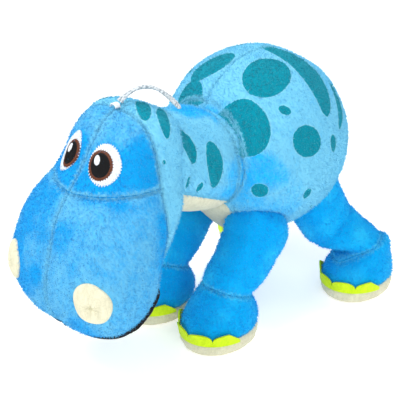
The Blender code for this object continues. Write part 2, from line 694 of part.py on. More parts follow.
PLACES = {"torso": TORSO_CENTRE, "neck": NECK_PIVOT, "head": HEAD_PIVOT, "tail": TAIL_PIVOT,
          "front_left": FRONT_HIP, "front_right": mirrored(FRONT_HIP, -1),
          "hind_left": HIND_HIP, "hind_right": mirrored(HIND_HIP, -1)}
TAIL_SEAM_TILT = Matrix.Rotation(math.radians(-45.0), 4, "X")
joints = {}
clear_objects()
parts = new_collection("stuffed_dinosaur")
cutters = new_collection("cutters")
build_joints()
build_torso()
build_neck()
build_head()
build_legs()
build_tail()
joints["torso"].location += ORIGIN_SHIFT
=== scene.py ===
import json
import math

import bmesh
import bpy
import numpy as np
from mathutils import Matrix, Vector
from mathutils.bvhtree import BVHTree


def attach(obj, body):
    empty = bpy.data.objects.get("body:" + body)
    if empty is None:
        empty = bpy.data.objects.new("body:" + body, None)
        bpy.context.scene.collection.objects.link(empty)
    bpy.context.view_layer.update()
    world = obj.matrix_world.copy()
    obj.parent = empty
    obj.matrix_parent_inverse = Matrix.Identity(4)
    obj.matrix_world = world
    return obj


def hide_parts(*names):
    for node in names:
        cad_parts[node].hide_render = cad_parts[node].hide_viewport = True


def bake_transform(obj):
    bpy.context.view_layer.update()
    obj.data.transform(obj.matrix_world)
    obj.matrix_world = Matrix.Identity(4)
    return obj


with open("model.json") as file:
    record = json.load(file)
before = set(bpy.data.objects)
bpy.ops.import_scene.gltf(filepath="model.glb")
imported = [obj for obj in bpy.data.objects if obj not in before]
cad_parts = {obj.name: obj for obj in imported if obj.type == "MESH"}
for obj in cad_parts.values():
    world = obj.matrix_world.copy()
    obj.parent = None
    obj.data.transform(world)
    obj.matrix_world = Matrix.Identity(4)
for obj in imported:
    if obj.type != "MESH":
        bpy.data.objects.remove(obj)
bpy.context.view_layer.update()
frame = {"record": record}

# ---------------------------------------------------------------- the maker's pattern, in metres
# Every place is given round the toy's own middle, and HOME moves it to where the toy stands.
MM = 0.001
JOINT_PLACES = {joint["name"]: Vector(joint["pos_m"]) for joint in frame["record"]["behaviour"]["joints"]}
NECK_PIVOT = Vector((0.0, -0.048, 0.144))
HOME = JOINT_PLACES["neck_turn"] - NECK_PIVOT

TORSO_CENTRE = np.array((0.0, 0.0, 0.142))
TORSO_HALF = np.array((0.0755, 0.0775, 0.0768))
BELLY_HALF_WIDTH = 0.032
BELLY_TOP = 0.110
CHEST_BACK = -0.026
BELLY_SAG_CENTRE = (0.0, -0.024, 0.066)
BELLY_SAG_HALF = (0.026, 0.022, 0.024)

NECK_BALL = 0.044
NECK_STATIONS = ((0.014, 0.0430, 0.000), (0.030, 0.0425, 0.002), (0.046, 0.0415, 0.006),
                 (0.061, 0.0405, 0.011), (0.078, 0.0385, 0.015))
NECK_ROOT_SEAM = -0.064
# the neck's skin is in two lengths: a name, the side of the split that it keeps, two bodies and a span along
# Y
NECK_SPLIT = -0.083
NECK_SPANS = (("root", 1, ("torso", "neck"), (-0.050, -0.080)),
              ("front", -1, ("neck", "head"), (-0.086, -0.120)))

# height, foremost point, rearmost point, half width, squareness of each level section
HEAD_LEVELS = ((0.2065, -0.158, -0.125, 0.0255, 2.0), (0.198, -0.168, -0.111, 0.0375, 2.0),
               (0.185, -0.178, -0.105, 0.0430, 2.0), (0.172, -0.186, -0.104, 0.0455, 2.0),
               (0.158, -0.198, -0.107, 0.0505, 2.1), (0.142, -0.209, -0.114, 0.0575, 2.3),
               (0.124, -0.216, -0.131, 0.0630, 2.5), (0.104, -0.222, -0.145, 0.0655, 2.6),
               (0.086, -0.224, -0.150, 0.0650, 2.6), (0.070, -0.221, -0.157, 0.0590, 2.4),
               (0.057, -0.212, -0.166, 0.0450, 2.2))
HEAD_CROWN = (0.2118, -0.141, -0.141, 0.0, 2.0)
HEAD_CHIN = (0.0470, -0.191, -0.191, 0.0, 2.2)
FACE_SEAM = -0.149
MOUTH_CORNER = 0.086
MOUTH_SLOPE = 1.15
MOUTH_WIDTH = 0.0080
CROWN_TUFT = (0.0, -0.160, 0.206)
TUFT_REACH = 0.016
CHEEK_DIP = (0.055, -0.158, 0.118)
CHEEK_REACH = 0.013

EYE_CENTRE = Vector((0.018, -0.176, 0.178))
RIGHT_EYE_OUT = 0.0158
EYE_AIM = Vector((0.42, -0.90, 0.12))
SCLERA_HALF = (0.0126, 0.0136)
IRIS_HALF = (0.0098, 0.0104)
PUPIL_HALF = (0.0078, 0.0087)
GLINT_HALF = (0.0024, 0.0036)
# how far outside the face a stitched piece starts before it is laid down on it
RAY_START = 0.03
NOSTRIL_CENTRE = Vector((0.0435, -0.213, 0.094))
NOSTRIL_AIM = Vector((0.55, -0.78, -0.28))
NOSTRIL_RADIUS = 0.0146

HIP_RADIUS = 0.0265
# how far from the leg's line the seam that sews a leg to the body runs
LEG_COLLAR = 0.0255
HIPS = {"front": Vector((0.038, -0.040, 0.082)), "hind": Vector((0.039, 0.038, 0.084))}
FOOT_PLACES = {"front_left": (0.040, -0.076), "front_right": (-0.028, -0.081),
               "hind_left": (0.070, 0.068), "hind_right": (-0.061, 0.074)}
LEG_TUBE = ((0.34, 0.0240), (0.62, 0.0232), (0.86, 0.0222))
LEG_BOW = {"front_left": Vector((0.0015, 0.0015, 0.0)),
           "hind_left": Vector((-0.0045, -0.0045, -0.0045)),
           "hind_right": Vector((0.0020, -0.0020, -0.0030))}
ANKLE_HEIGHT = 0.044
ANKLE_RADIUS = 0.0216
FOOT_LEVELS = ((0.035, 0.0246, 0.0268, 0.003), (0.025, 0.0272, 0.0322, 0.006),
               (0.0160, 0.0272, 0.0332, 0.007))
FOOT_FLOOR = 0.0140
FOOT_FLOOR_LEVEL = (FOOT_FLOOR, 0.0225, 0.0285, 0.007)
SOLE_LEVELS = ((0.0142, 0.0266, 0.0330, 0.007), (0.0110, 0.0281, 0.0346, 0.007),
               (0.0060, 0.0276, 0.0341, 0.007), (0.0020, 0.0250, 0.0315, 0.007),
               (0.0003, 0.0215, 0.0275, 0.007), (0.0, 0.0180, 0.0235, 0.007))
CLAW_SPREAD = math.radians(80.0)
CLAW_LOBES = 4
CLAW_HEIGHT = 0.0095
CLAW_FELT = 0.0014
CLAW_HALF_WIDE = 0.0272
CLAW_HALF_LONG = 0.0332
TOE_FORWARD = 0.007

TAIL_PIVOT = Vector((0.0, 0.066, 0.116))
TAIL_BALL = 0.026
TAIL_STATIONS = ((0.0, 0.080, 0.112, 0.0250), (-0.006, 0.094, 0.104, 0.0215),
                 (-0.017, 0.106, 0.092, 0.0170), (-0.031, 0.113, 0.080, 0.0120),
                 (-0.044, 0.116, 0.072, 0.0070))

CORD_RADIUS = 1.4 * MM
CORD_LAY = 6.5 * MM
CORD_ROUTE = ((.0030, -.1475, .2128), (.0055, -.1440, .2175), (.0085, -.1385, .2215),
              (.0120, -.1320, .2230), (.0160, -.1260, .2210), (.0200, -.1205, .2160),
              (.0235, -.1155, .2095), (.0245, -.1115, .2050), (.0220, -.1090, .2045),
              (.0185, -.1105, .2085), (.0155, -.1155, .2140), (.0125, -.1215, .2185),
              (.0085, -.1285, .2205), (.0045, -.1355, .2195), (.0010, -.1420, .2160),
              (-.0010, -.1468, .2125))
TACK_CENTRE = Vector((0.0010, -0.1515, 0.2115))
TACK_STITCHES = 9
TACK_SPACING = 0.52 * MM
TACK_LENGTH = 6.2 * MM
TACK_THREAD = 0.42 * MM

SIDES = (("left", 1), ("right", -1))

# printed spots: one end, other end, half width (mm), where it is widest, sideways bow (mm)
TORSO_SPOTS = (((27, 0, 214), (31, -42, 199), 17.5, .50, 0),
               ((22, -56, 192), (54, -52, 161), 13.0, .42, 0),
               ((51, -31, 190), (58, -24, 187), 3.6, .5, 0),
               ((64, -28, 171), (73, -7, 156), 12.0, .5, 0), ((73, 11, 162), (75, 11, 148), 4.4, .5, 0),
               ((0, 6, 220), (67, 9, 176), 12.5, .55, 9), ((44, 40, 194), (71, 24, 164), 4.5, .5, 3),
               ((-30, -46, 196), (-6, -20, 217), 13.0, .5, 0),
               ((-33, -62, 178), (-12, -53, 199), 11.0, .5, 0),
               ((54, -56, 134), (57, -50, 123), 5.0, .5, 0),
               ((72, -16, 124), (69, -16, 114), 3.6, .5, 0), ((63, 0, 100), (63, 2, 97), 1.5, .5, 0),
               ((-64, -32, 168), (-72, -8, 152), 12.5, .5, 0),
               ((-22, 4, 216), (-62, 22, 176), 11.0, .45, -5),
               ((-60, -46, 138), (-62, -38, 126), 4.6, .5, 0),
               ((-74, 14, 158), (-72, 26, 146), 6.0, .5, 0),
               ((-44, -34, 200), (-50, -26, 196), 3.4, .5, 0),
               ((-68, -6, 122), (-66, 2, 112), 4.0, .5, 0), ((18, 56, 190), (34, 66, 166), 9.0, .45, 0),
               ((-20, 60, 184), (-36, 66, 158), 10.5, .5, 0),
               ((58, 44, 146), (52, 56, 132), 6.5, .5, 0), ((-58, 48, 134), (-52, 56, 122), 5.0, .5, 0),
               ((2, 44, 209), (12, 52, 202), 4.0, .5, 0))
NECK_SPOTS = (((33, -89, 174), (39, -91, 139), 7.8, .45, 0),
              ((25, -113, 187), (38, -110, 164), 7.0, .42, 0),
              ((39, -118, 158), (37, -118, 147), 1.9, .5, 0),
              ((39, -104, 148), (38, -106, 140), 2.4, .5, 0),
              ((-30, -92, 178), (-40, -86, 152), 7.4, .5, 0),
              ((-26, -112, 186), (-38, -106, 168), 5.4, .5, 0),
              ((-38, -100, 146), (-39, -98, 138), 2.4, .5, 0))
HEAD_SPOTS = (((4, -129, 209), (26, -146, 203), 5.6, .45, 0),
              ((15, -120, 204), (38, -138, 190), 5.0, .5, -2),
              ((43, -144, 179), (43, -144, 176), 1.4, .5, 0),
              ((-12, -124, 206), (-32, -140, 198), 5.4, .5, 0),
              ((-26, -110, 198), (-41, -130, 184), 4.6, .5, 2))
# where the nap has been stroked flat and shows its deeper colour: centre, radius (mm), strength
PRINT_BRUSHED = (((52, -58, 140), 30, .8), ((46, -62, 116), 26, .6), ((2, -78, 190), 20, 1.0),
                 ((22, -66, 188), 12, .6), ((30, -34, 206), 12, .35), ((40, -68, 130), 16, .75),
                 ((-60, 10, 150), 26, .5), ((20, 66, 170), 22, .5), ((66, -36, 110), 22, .55),
                 ((40, 40, 196), 18, .3))
FACE_BRUSHED = (((22, -182, 172), 24, 1.0), ((38, -160, 178), 22, .9), ((52, -156, 130), 14, .9),
                ((56, -158, 112), 11, .9), ((-20, -182, 170), 26, .9), ((-34, -205, 140), 30, .7),
                ((-40, -214, 95), 28, .95), ((8, -212, 128), 13, .5), ((30, -214, 66), 16, .5),
                ((28, -212, 112), 8, .6), ((-50, -160, 120), 22, .6))

WORLD_LIGHT = 0.62
FLOOR_GLOW = 0.40
# name, place, watts and size of each lamp
LAMPS = (("key", (-0.35, -0.60, 1.35), 15.0, 0.8), ("fill", (1.0, -0.70, 0.8), 7.0, 1.0),
         ("back", (0.3, 1.0, 1.0), 4.0, 1.0))
CAMERA_TARGET = Vector((-0.0254, -0.0397, 0.0883))
CAMERA_AZIMUTH = math.radians(45)
CAMERA_ELEVATION = math.radians(26)
CAMERA_DISTANCE = 0.86
CAMERA_LENS = 91.0


# ---------------------------------------------------------------- mesh helpers
def points_of(mesh):
    points = np.empty(len(mesh.vertices) * 3, np.float32)
    mesh.vertices.foreach_get("co", points)
    return points.reshape(-1, 3).astype(float)


def normals_of(mesh):
    normals = np.empty(len(mesh.vertices) * 3, np.float32)
    mesh.vertices.foreach_get("normal", normals)
    return normals.reshape(-1, 3).astype(float)


def set_points(mesh, points):
    mesh.vertices.foreach_set("co", points.astype(np.float32).ravel())
    mesh.update()


def give_field(mesh, name, values):
    """A number at each point, which the finishes read by name."""
    layer = mesh.attributes.new(name, "FLOAT", "POINT")
    layer.data.foreach_set("value", np.asarray(values, np.float32))


def ripple(points, size, seed, waves=10):
    """A soft, seeded unevenness of about the given size, near zero on average."""
    chance = np.random.default_rng(seed)
    total = np.zeros(len(points))
    for _ in range(waves):
        direction = chance.normal(size=3)
        direction /= np.linalg.norm(direction)
        pace = 2 * math.pi / size * chance.uniform(0.7, 1.4)
        total += np.sin(points @ direction * pace + chance.uniform(0, 2 * math.pi))
    return total / math.sqrt(waves)


def smooth_rows(rows, steps):
    """Rows on a smooth curve through the control rows, whose first and last only give the direction."""
    rows = np.array(rows, float)
    out = []
    for i in range(1, len(rows) - 2):
        a, b, c, d = rows[i - 1:i + 3]
        for k in range(steps):
            t = k / steps
            out.append(0.5 * (2 * b + (c - a) * t + (2 * a - 5 * b + 4 * c - d) * t ** 2
                              + (3 * b - a - 3 * c + d) * t ** 3))
    out.append(rows[-2])
    return np.array(out)


def skin_over(rings, name):
    """A closed mesh over rings of points, whose first and last rings have shrunk to their poles."""
    count, around = rings.shape[:2]
    poles = [rings[0].mean(axis=0), rings[-1].mean(axis=0)]
    points = np.concatenate([rings[1:-1].reshape(-1, 3), poles])
    faces = []
    for i in range(count - 3):
        for j in range(around):
            k = (j + 1) % around
            faces.append((i * around + j, i * around + k, (i + 1) * around + k, (i + 1) * around + j))
    first, last = len(points) - 2, len(points) - 1
    final = (count - 3) * around
    for j in range(around):
        k = (j + 1) % around
        faces.append((k, j, first))
        faces.append((final + j, final + k, last))
    mesh = bpy.data.meshes.new(name)
    mesh.from_pydata(points.tolist(), [], faces)
    outward(mesh)
    return mesh


def shell_faces(rows, around):
    """Faces of a round pad: rings of points from its middle outwards, then the same rings underneath."""
    under = (rows + 1) * around
    faces = []
    for i in range(rows):
        for j in range(around):
            k = (j + 1) % around
            a, b, c, d = i * around + j, (i + 1) * around + j, (i + 1) * around + k, i * around + k
            faces.append((a, b, c, d))
            faces.append((a + under, d + under, c + under, b + under))
    rim = rows * around
    for j in range(around):
        k = (j + 1) % around
        faces.append((rim + j, rim + j + under, rim + k + under, rim + k))
    return faces


def outward(mesh):
    work = bmesh.new()
    work.from_mesh(mesh)
    bmesh.ops.recalc_face_normals(work, faces=work.faces)
    if work.calc_volume(signed=True) < 0:
        bmesh.ops.reverse_faces(work, faces=work.faces)
    work.to_mesh(mesh)
    work.free()
    mesh.update()


def welded(name, points, faces, strands=None):
    """A closed mesh in which points that share a place become one."""
    mesh = bpy.data.meshes.new(name)
    mesh.from_pydata([tuple(point) for point in points], [], faces)
    if strands:
        give_field(mesh, "strand", strands)
    work = bmesh.new()
    work.from_mesh(mesh)
    bmesh.ops.remove_doubles(work, verts=work.verts, dist=0.004 * MM)
    work.to_mesh(mesh)
    work.free()
    outward(mesh)
    return mesh


def ring_round(centre, normal, radius, around):
    """Points of a circle square to the normal, from the side nearest +X."""
    normal = Vector(normal).normalized()
    across = (Vector((1.0, 0.0, 0.0)) - normal * normal.x).normalized()
    up = normal.cross(across)
    angles = np.linspace(0, 2 * math.pi, around, endpoint=False)
    return (np.array(centre) + radius * (np.cos(angles)[:, None] * np.array(across)
                                         + np.sin(angles)[:, None] * np.array(up)))


def ball_rings(centre, way, radius, degrees, around):
    """The rounded end of a skin, as rings from its pole towards its widest section."""
    rings = []
    for angle in map(math.radians, degrees):
        rings.append(ring_round(centre + way * radius * math.sin(angle), way,
                                max(radius * math.cos(angle), 1e-6), around))
    return rings


def lift(mesh, height):
    """Move each point along its normal by a height that depends on where it is."""
    points = points_of(mesh)
    set_points(mesh, points + normals_of(mesh) * height(points)[:, None])


def sewn(points, distance, seed, depth=1.5 * MM, wide=9 * MM, narrow=1.5 * MM):
    """How a seam pulls the skin in: a broad valley, a tight tuck, and small gathers beside it."""
    valley = -0.8 * depth * np.exp(-(distance / wide) ** 2) - depth * np.exp(-(distance / narrow) ** 2)
    gathers = 0.22 * MM * np.exp(-(distance / (4.5 * MM)) ** 2) * ripple(points, 4.2 * MM, seed)
    return valley + gathers


def closeness(points, centre, reach, squash=(1, 1, 1)):
    """One at the centre, fading to almost nothing at twice the reach."""
    away = np.linalg.norm((points - np.array(centre)) / np.array(squash), axis=1)
    return np.exp(-(away / reach) ** 2)


def cut_panel(name, source, cuts):
    """The part of a closed skin on the given side of each seam. A seam is a surface over two axes."""
    mesh = source.copy()
    mesh.name = name
    for axis, seam, side in cuts:
        points = points_of(mesh)
        shift = seam(points)
        points[:, axis] -= shift
        set_points(mesh, points)
        work = bmesh.new()
        work.from_mesh(mesh)
        normal = Vector((0.0, 0.0, 0.0))
        normal[axis] = side
        bmesh.ops.bisect_plane(work, geom=work.verts[:] + work.edges[:] + work.faces[:], dist=1e-7,
                               plane_co=(0, 0, 0), plane_no=normal, clear_inner=True)
        work.to_mesh(mesh)
        work.free()
        points = points_of(mesh)
        points[:, axis] += seam(points)
        set_points(mesh, points)
    return mesh


def flat(value):
    return lambda points: np.full(len(points), value)


def finished(mesh, kind, settings):
    """The mesh after one modifier, which settings(modifier) sets up, as a plain mesh."""
    holder = bpy.data.objects.new("bench", mesh)
    bpy.context.scene.collection.objects.link(holder)
    settings(holder.modifiers.new("work", kind))
    bpy.context.view_layer.update()
    made = bpy.data.meshes.new_from_object(holder.evaluated_get(bpy.context.evaluated_depsgraph_get()))
    bpy.data.objects.remove(holder)
    return made


def walled(mesh, thickness=1.4 * MM):
    """Give an open panel the thickness of its cloth, so that it is a closed body."""
    def settings(wall):
        wall.thickness = thickness
        wall.offset = -1.0

    made = finished(mesh, "SOLIDIFY", settings)
    give_field(made, "outer", np.arange(len(made.vertices)) < len(mesh.vertices))
    return made


def socket_id(tree, name):
    """The identifier by which a modifier sets a named input of its tree."""
    return next(item.identifier for item in tree.interface.items_tree
                if item.name == name and item.in_out == "INPUT")


def pile_fibres_tree():
    """Short fibres that stand out of the skin, thin all over and thick along the seams."""
    tree = bpy.data.node_groups.new("pile_fibres", "GeometryNodeTree")
    new_socket = tree.interface.new_socket
    new_socket(name="Skin", in_out="INPUT", socket_type="NodeSocketGeometry")
    for label, value in (("Density", 520000.0), ("Seam Density", 700000.0), ("Seam Width", 4.0 * MM),
                         ("Fibre Length", 2.3 * MM), ("Fibre Radius", 0.27 * MM), ("Lean", 1.05)):
        new_socket(name=label, in_out="INPUT", socket_type="NodeSocketFloat").default_value = value
    new_socket(name="Seed", in_out="INPUT", socket_type="NodeSocketInt").default_value = 1
    new_socket(name="Finish", in_out="INPUT", socket_type="NodeSocketMaterial")
    new_socket(name="Skin", in_out="OUTPUT", socket_type="NodeSocketGeometry")
    given = tree.nodes.new("NodeGroupInput").outputs

    def field(name):
        named = wired(tree, "GeometryNodeInputNamedAttribute", {"Name": name}, data_type="FLOAT")
        return named.outputs["Attribute"]

    share = maths(tree, "DIVIDE", field("seam"), given["Seam Width"])
    near = maths(tree, "SUBTRACT", 1.0, share, clamp=True)
    density = maths(tree, "ADD", given["Density"], maths(tree, "MULTIPLY", near, given["Seam Density"]))
    density = maths(tree, "MULTIPLY", density, maths(tree, "GREATER_THAN", field("outer"), 0.98))
    scatter = wired(tree, "GeometryNodeDistributePointsOnFaces",
                    {"Mesh": given["Skin"], "Density": density, "Seed": given["Seed"]})
    cone = wired(tree, "GeometryNodeMeshCone",
                 {"Vertices": 3, "Radius Top": 0.0, "Radius Bottom": given["Fibre Radius"],
                  "Depth": given["Fibre Length"]}, fill_type="NGON")
    place = tree.nodes.new("GeometryNodeInputPosition").outputs["Position"]
    height = wired(tree, "ShaderNodeSeparateXYZ", {"Vector": place}).outputs["Z"]
    # the share of its height at each point of a fibre, which the plush finishes use for a painted highlight
    # towards the tip
    fibre = wired(tree, "GeometryNodeStoreNamedAttribute",
                  {"Name": "tip", "Geometry": cone.outputs["Mesh"],
                   "Value": maths(tree, "DIVIDE", height, given["Fibre Length"])},
                  data_type="FLOAT", domain="POINT")
    lowest = maths(tree, "MULTIPLY", given["Lean"], -1.0)
    tilt = wired(tree, "FunctionNodeRandomValue", {"Min": lowest, "Max": given["Lean"]},
                 data_type="FLOAT_VECTOR")
    turned = wired(tree, "FunctionNodeEulerToRotation", {"Euler": tilt.outputs["Value"]})
    leaned = wired(tree, "FunctionNodeRotateRotation",
                   {"Rotation": scatter.outputs["Rotation"], "Rotate By": turned.outputs["Rotation"]},
                   rotation_space="LOCAL")
    size = wired(tree, "FunctionNodeRandomValue", {2: 0.55, 3: 1.15}, data_type="FLOAT")
    planted = wired(tree, "GeometryNodeInstanceOnPoints",
                    {"Points": scatter.outputs["Points"], "Instance": fibre.outputs["Geometry"],
                     "Rotation": leaned.outputs["Rotation"], "Scale": size.outputs[1]})
    real = wired(tree, "GeometryNodeRealizeInstances", {"Geometry": planted.outputs["Instances"]})
    joined = wired(tree, "GeometryNodeJoinGeometry", {"Geometry": real.outputs["Geometry"]})
    tree.links.new(given["Skin"], joined.inputs["Geometry"])
    finish = wired(tree, "GeometryNodeSetMaterial",
                   {"Geometry": joined.outputs["Geometry"], "Material": given["Finish"]})
    wired(tree, "NodeGroupOutput", {"Skin": finish.outputs["Geometry"]})
    return tree


def with_pile(mesh, material, seed):
    """The skin with its fibres, as one plain mesh."""
    def settings(growth):
        growth.node_group = PILE_FIBRES
        growth[socket_id(PILE_FIBRES, "Seed")] = seed
        growth[socket_id(PILE_FIBRES, "Finish")] = material

    return finished(mesh, "NODES", settings)


def spot_edge(points, spots):
    """Signed distance to the nearest printed spot's edge, below zero inside it."""
    nearest = np.full(len(points), 0.02)
    for start, end, half, widest, bow in spots:
        a = np.array(start) * MM
        b = np.array(end) * MM
        along = b - a
        length = np.linalg.norm(along)
        along /= length
        middle = (a + b) / 2
        outward_way = middle - np.array((0.0, middle[1], 0.142 if middle[1] > -0.06 else 0.155))
        outward_way -= along * (outward_way @ along)
        outward_way /= np.linalg.norm(outward_way)
        across = np.cross(outward_way, along)
        offset = points - a
        share = np.clip((offset @ along) / length, -0.5, 1.5)
        inside = np.clip(share, 1e-4, 1 - 1e-4)
        warped = inside ** (math.log(0.5) / math.log(widest))
        profile = np.sqrt(np.clip(1 - (2 * warped - 1) ** 2, 0, 1))
        side = np.abs(offset @ across - bow * MM * (1 - (2 * inside - 1) ** 2))
        over = np.maximum(-share, share - 1) * length
        distance = np.where(over > 0, np.hypot(over, side), (side - half * MM * profile) * 0.85)
        behind = (offset @ outward_way) < -0.45 * length - 0.012
        nearest = np.minimum(nearest, np.where(behind, 0.02, distance))
    return nearest


def brushed(points, patches, seed):
    """How far the nap is stroked flat at each point, from 0 to 1."""
    total = np.zeros(len(points))
    wander = ripple(points, 30 * MM, seed) * 0.22
    for centre, radius, strength in patches:
        far = np.linalg.norm(points - np.array(centre) * MM, axis=1) / (radius * MM)
        total = np.maximum(total, strength * (1 / (1 + np.exp((far + wander - 0.85) * 7))))
    return total


def printed_fields(points, distance, spots, stroked=1.0):
    """The fields of a printed skin: its seams, its stroked nap and its spots."""
    return {"seam": distance, "brush": brushed(points, PRINT_BRUSHED, 26) * stroked,
            "spot": spot_edge(points, spots)}


def put(name, mesh, material, nodes, fields=None, sharp=60.0):
    """A piece in its place, with its fields, its finish and the nodes that it stands for."""
    if fields:
        for field, values in fields(points_of(mesh)).items():
            give_field(mesh, field, values)
    if material in PILED:
        mesh = with_pile(mesh, material, sum(name.encode()))
    mesh.transform(Matrix.Translation(HOME))
    mesh.materials.clear()
    mesh.materials.append(material)
    mesh.shade_smooth()
    mesh.set_sharp_from_angle(angle=math.radians(sharp))
    mesh.name = name
    piece = bpy.data.objects.new(name, mesh)
    bpy.context.scene.collection.objects.link(piece)
    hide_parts(*nodes)
    return piece


# ---------------------------------------------------------------- finishes
def new_group(name, inputs, outputs):
    group = bpy.data.node_groups.new(name, "ShaderNodeTree")
    for label, value in inputs:
        socket = group.interface.new_socket(name=label, in_out="INPUT", socket_type="NodeSocketFloat")
        socket.default_value = value
    for label in outputs:
        group.interface.new_socket(name=label, in_out="OUTPUT", socket_type="NodeSocketFloat")
    return group, group.nodes.new("NodeGroupInput"), group.nodes.new("NodeGroupOutput")


def wired(tree, kind, inputs, **settings):
    """A new node with its settings made, and each input linked to a socket or given a value."""
    node = tree.nodes.new(kind)
    for label, value in settings.items():
        setattr(node, label, value)
    for label, value in inputs.items():
        if isinstance(value, bpy.types.NodeSocket):
            tree.links.new(value, node.inputs[label])
        else:
            node.inputs[label].default_value = value
    return node


def noise(tree, vector, scale, detail=3.0, distortion=0.0, roughness=0.55):
    inputs = {"Detail": detail, "Distortion": distortion, "Roughness": roughness, "Scale": scale,
              "Vector": vector}
    return wired(tree, "ShaderNodeTexNoise", inputs).outputs["Fac"]


def maths(tree, operation, first, second=0.0, clamp=False):
    inputs = {0: first, 1: second}
    return wired(tree, "ShaderNodeMath", inputs, operation=operation, use_clamp=clamp).outputs[0]


def between(tree, value, low, high, to_low=0.0, to_high=1.0):
    """A value moved smoothly from one range to another."""
    inputs = {"Value": value, "From Min": low, "From Max": high, "To Min": to_low, "To Max": to_high}
    return wired(tree, "ShaderNodeMapRange", inputs, interpolation_type="SMOOTHSTEP").outputs["Result"]


def mixed(tree, share, first, second):
    """The first colour with a share of the second. Each is a socket or three numbers."""
    inputs = {"Factor": share}
    for label, colour in (("A", first), ("B", second)):
        inputs[label] = (*colour, 1.0) if isinstance(colour, tuple) else colour
    return wired(tree, "ShaderNodeMix", inputs, data_type="RGBA").outputs["Result"]


def pile_group():
    """The short pile that all the plush has: clumps, brushed streaks and single fibre tips."""
    group, given, result = new_group("short_pile", (("Clump Scale", 55.0), ("Fibre Scale", 560.0)),
                                     ("Nap", "Tips", "Height"))
    place = group.nodes.new("ShaderNodeTexCoord").outputs["Object"]
    clumps = noise(group, place, given.outputs["Clump Scale"], 4.0, 0.8)
    stretch = wired(group, "ShaderNodeMapping", {"Scale": (1.0, 1.0, 0.32), "Vector": place})
    streaks = noise(group, stretch.outputs["Vector"], 420.0, 2.0, 0.6)
    tips = noise(group, place, given.outputs["Fibre Scale"], 2.0, 0.2, 0.7)
    streaked = maths(group, "MULTIPLY", streaks, 0.45)
    blended = maths(group, "ADD", streaked, maths(group, "MULTIPLY", tips, 0.55))
    blended = maths(group, "ADD", maths(group, "MULTIPLY", blended, 2.4), -0.7, clamp=True)
    height = maths(group, "ADD", blended, maths(group, "MULTIPLY", clumps, 0.35))
    for label, value in (("Nap", clumps), ("Tips", blended), ("Height", height)):
        group.links.new(value, result.inputs[label])
    return group


def attribute(tree, name):
    return wired(tree, "ShaderNodeAttribute", {}, attribute_name=name).outputs["Fac"]


def bare_material(name, roughness, sheen, specular):
    material = bpy.data.materials.new(name)
    material.use_nodes = True
    shader = material.node_tree.nodes["Principled BSDF"]
    for label, value in (("Roughness", roughness), ("Sheen Weight", sheen), ("Sheen Roughness", 0.45),
                         ("Specular IOR Level", specular)):
        shader.inputs[label].default_value = value
    return material, material.node_tree, shader


def bumped(tree, shader, height, strength, distance):
    inputs = {"Strength": strength, "Distance": distance, "Height": height}
    tree.links.new(wired(tree, "ShaderNodeBump", inputs).outputs["Normal"], shader.inputs["Normal"])


def plush_material(name, deep, light, lean, spots=False):
    """Short-pile plush. lean is how much of the light nap shows where nothing has brushed it. Each seam gets
    painted shade in its tuck, and the fibre tips get a painted highlight.
    """
    # painted shade: a darker copy of the plush colour, for the tuck of each seam
    seam_tuck_shade = tuple(0.55 * channel for channel in deep)
    # a lighter colour for the fuzz beside the seams, which is also the painted highlight on the fibre tips
    tuft_and_tip_highlight = tuple(0.80 * channel + extra for channel, extra in zip(light, (0.07, 0.16, 0.15)))
    material, tree, shader = bare_material(name, 0.9, 0.08, 0.08)
    shader.inputs["Sheen Tint"].default_value = (0.62, 0.86, 0.93, 1.0)
    pile = wired(tree, "ShaderNodeGroup", {}, node_tree=PILE).outputs

    def ragged_by(distance, reach):
        """A distance made uneven by the fibre tips, so that an edge drawn by it looks furry."""
        stray = maths(tree, "MULTIPLY", maths(tree, "SUBTRACT", pile["Tips"], 0.5), reach)
        return maths(tree, "ADD", distance, stray)

    raised = maths(tree, "ADD", maths(tree, "MULTIPLY", pile["Nap"], 1.1), lean - 0.55)
    raised = maths(tree, "SUBTRACT", raised, attribute(tree, "brush"))
    raised = maths(tree, "ADD", raised, maths(tree, "MULTIPLY", pile["Tips"], 0.55))
    colour = mixed(tree, between(tree, raised, 0.0, 1.15), deep, light)
    if spots:
        ragged = ragged_by(attribute(tree, "spot"), 0.9 * MM)
        halo = between(tree, ragged, 0.15 * MM, 1.0 * MM, 0.35, 0.0)
        colour = mixed(tree, halo, colour, SPOT_HALO)
        sparkle = between(tree, pile["Tips"], 0.66, 0.95, 0.0, 0.55)
        ink = mixed(tree, sparkle, SPOT_TEAL, SPOT_LIGHT)
        colour = mixed(tree, between(tree, ragged, -0.3 * MM, 0.3 * MM, 1.0, 0.0), colour, ink)
    seam = attribute(tree, "seam")
    uneven = ragged_by(seam, 5.0 * MM)
    beside = between(tree, uneven, 0.4 * MM, 3.6 * MM, 0.8, 0.0)
    fuzz = maths(tree, "MULTIPLY", beside, between(tree, seam, 0.1 * MM, 0.7 * MM))
    colour = mixed(tree, fuzz, colour, tuft_and_tip_highlight)
    # painted shade, darkest within a fraction of a millimetre of the seam line
    colour = mixed(tree, between(tree, uneven, -0.2 * MM, 0.6 * MM, 0.4, 0.0), colour, seam_tuck_shade)
    # painted highlight: each fibre lighter towards its tip
    colour = mixed(tree, maths(tree, "MULTIPLY", attribute(tree, "tip"), 0.34), colour, tuft_and_tip_highlight)
    tree.links.new(colour, shader.inputs["Base Color"])
    tree.links.new(between(tree, pile["Tips"], 0.3, 0.7, 0.78, 0.98), shader.inputs["Roughness"])
    bumped(tree, shader, pile["Height"], 0.45, 0.8 * MM)
    return material


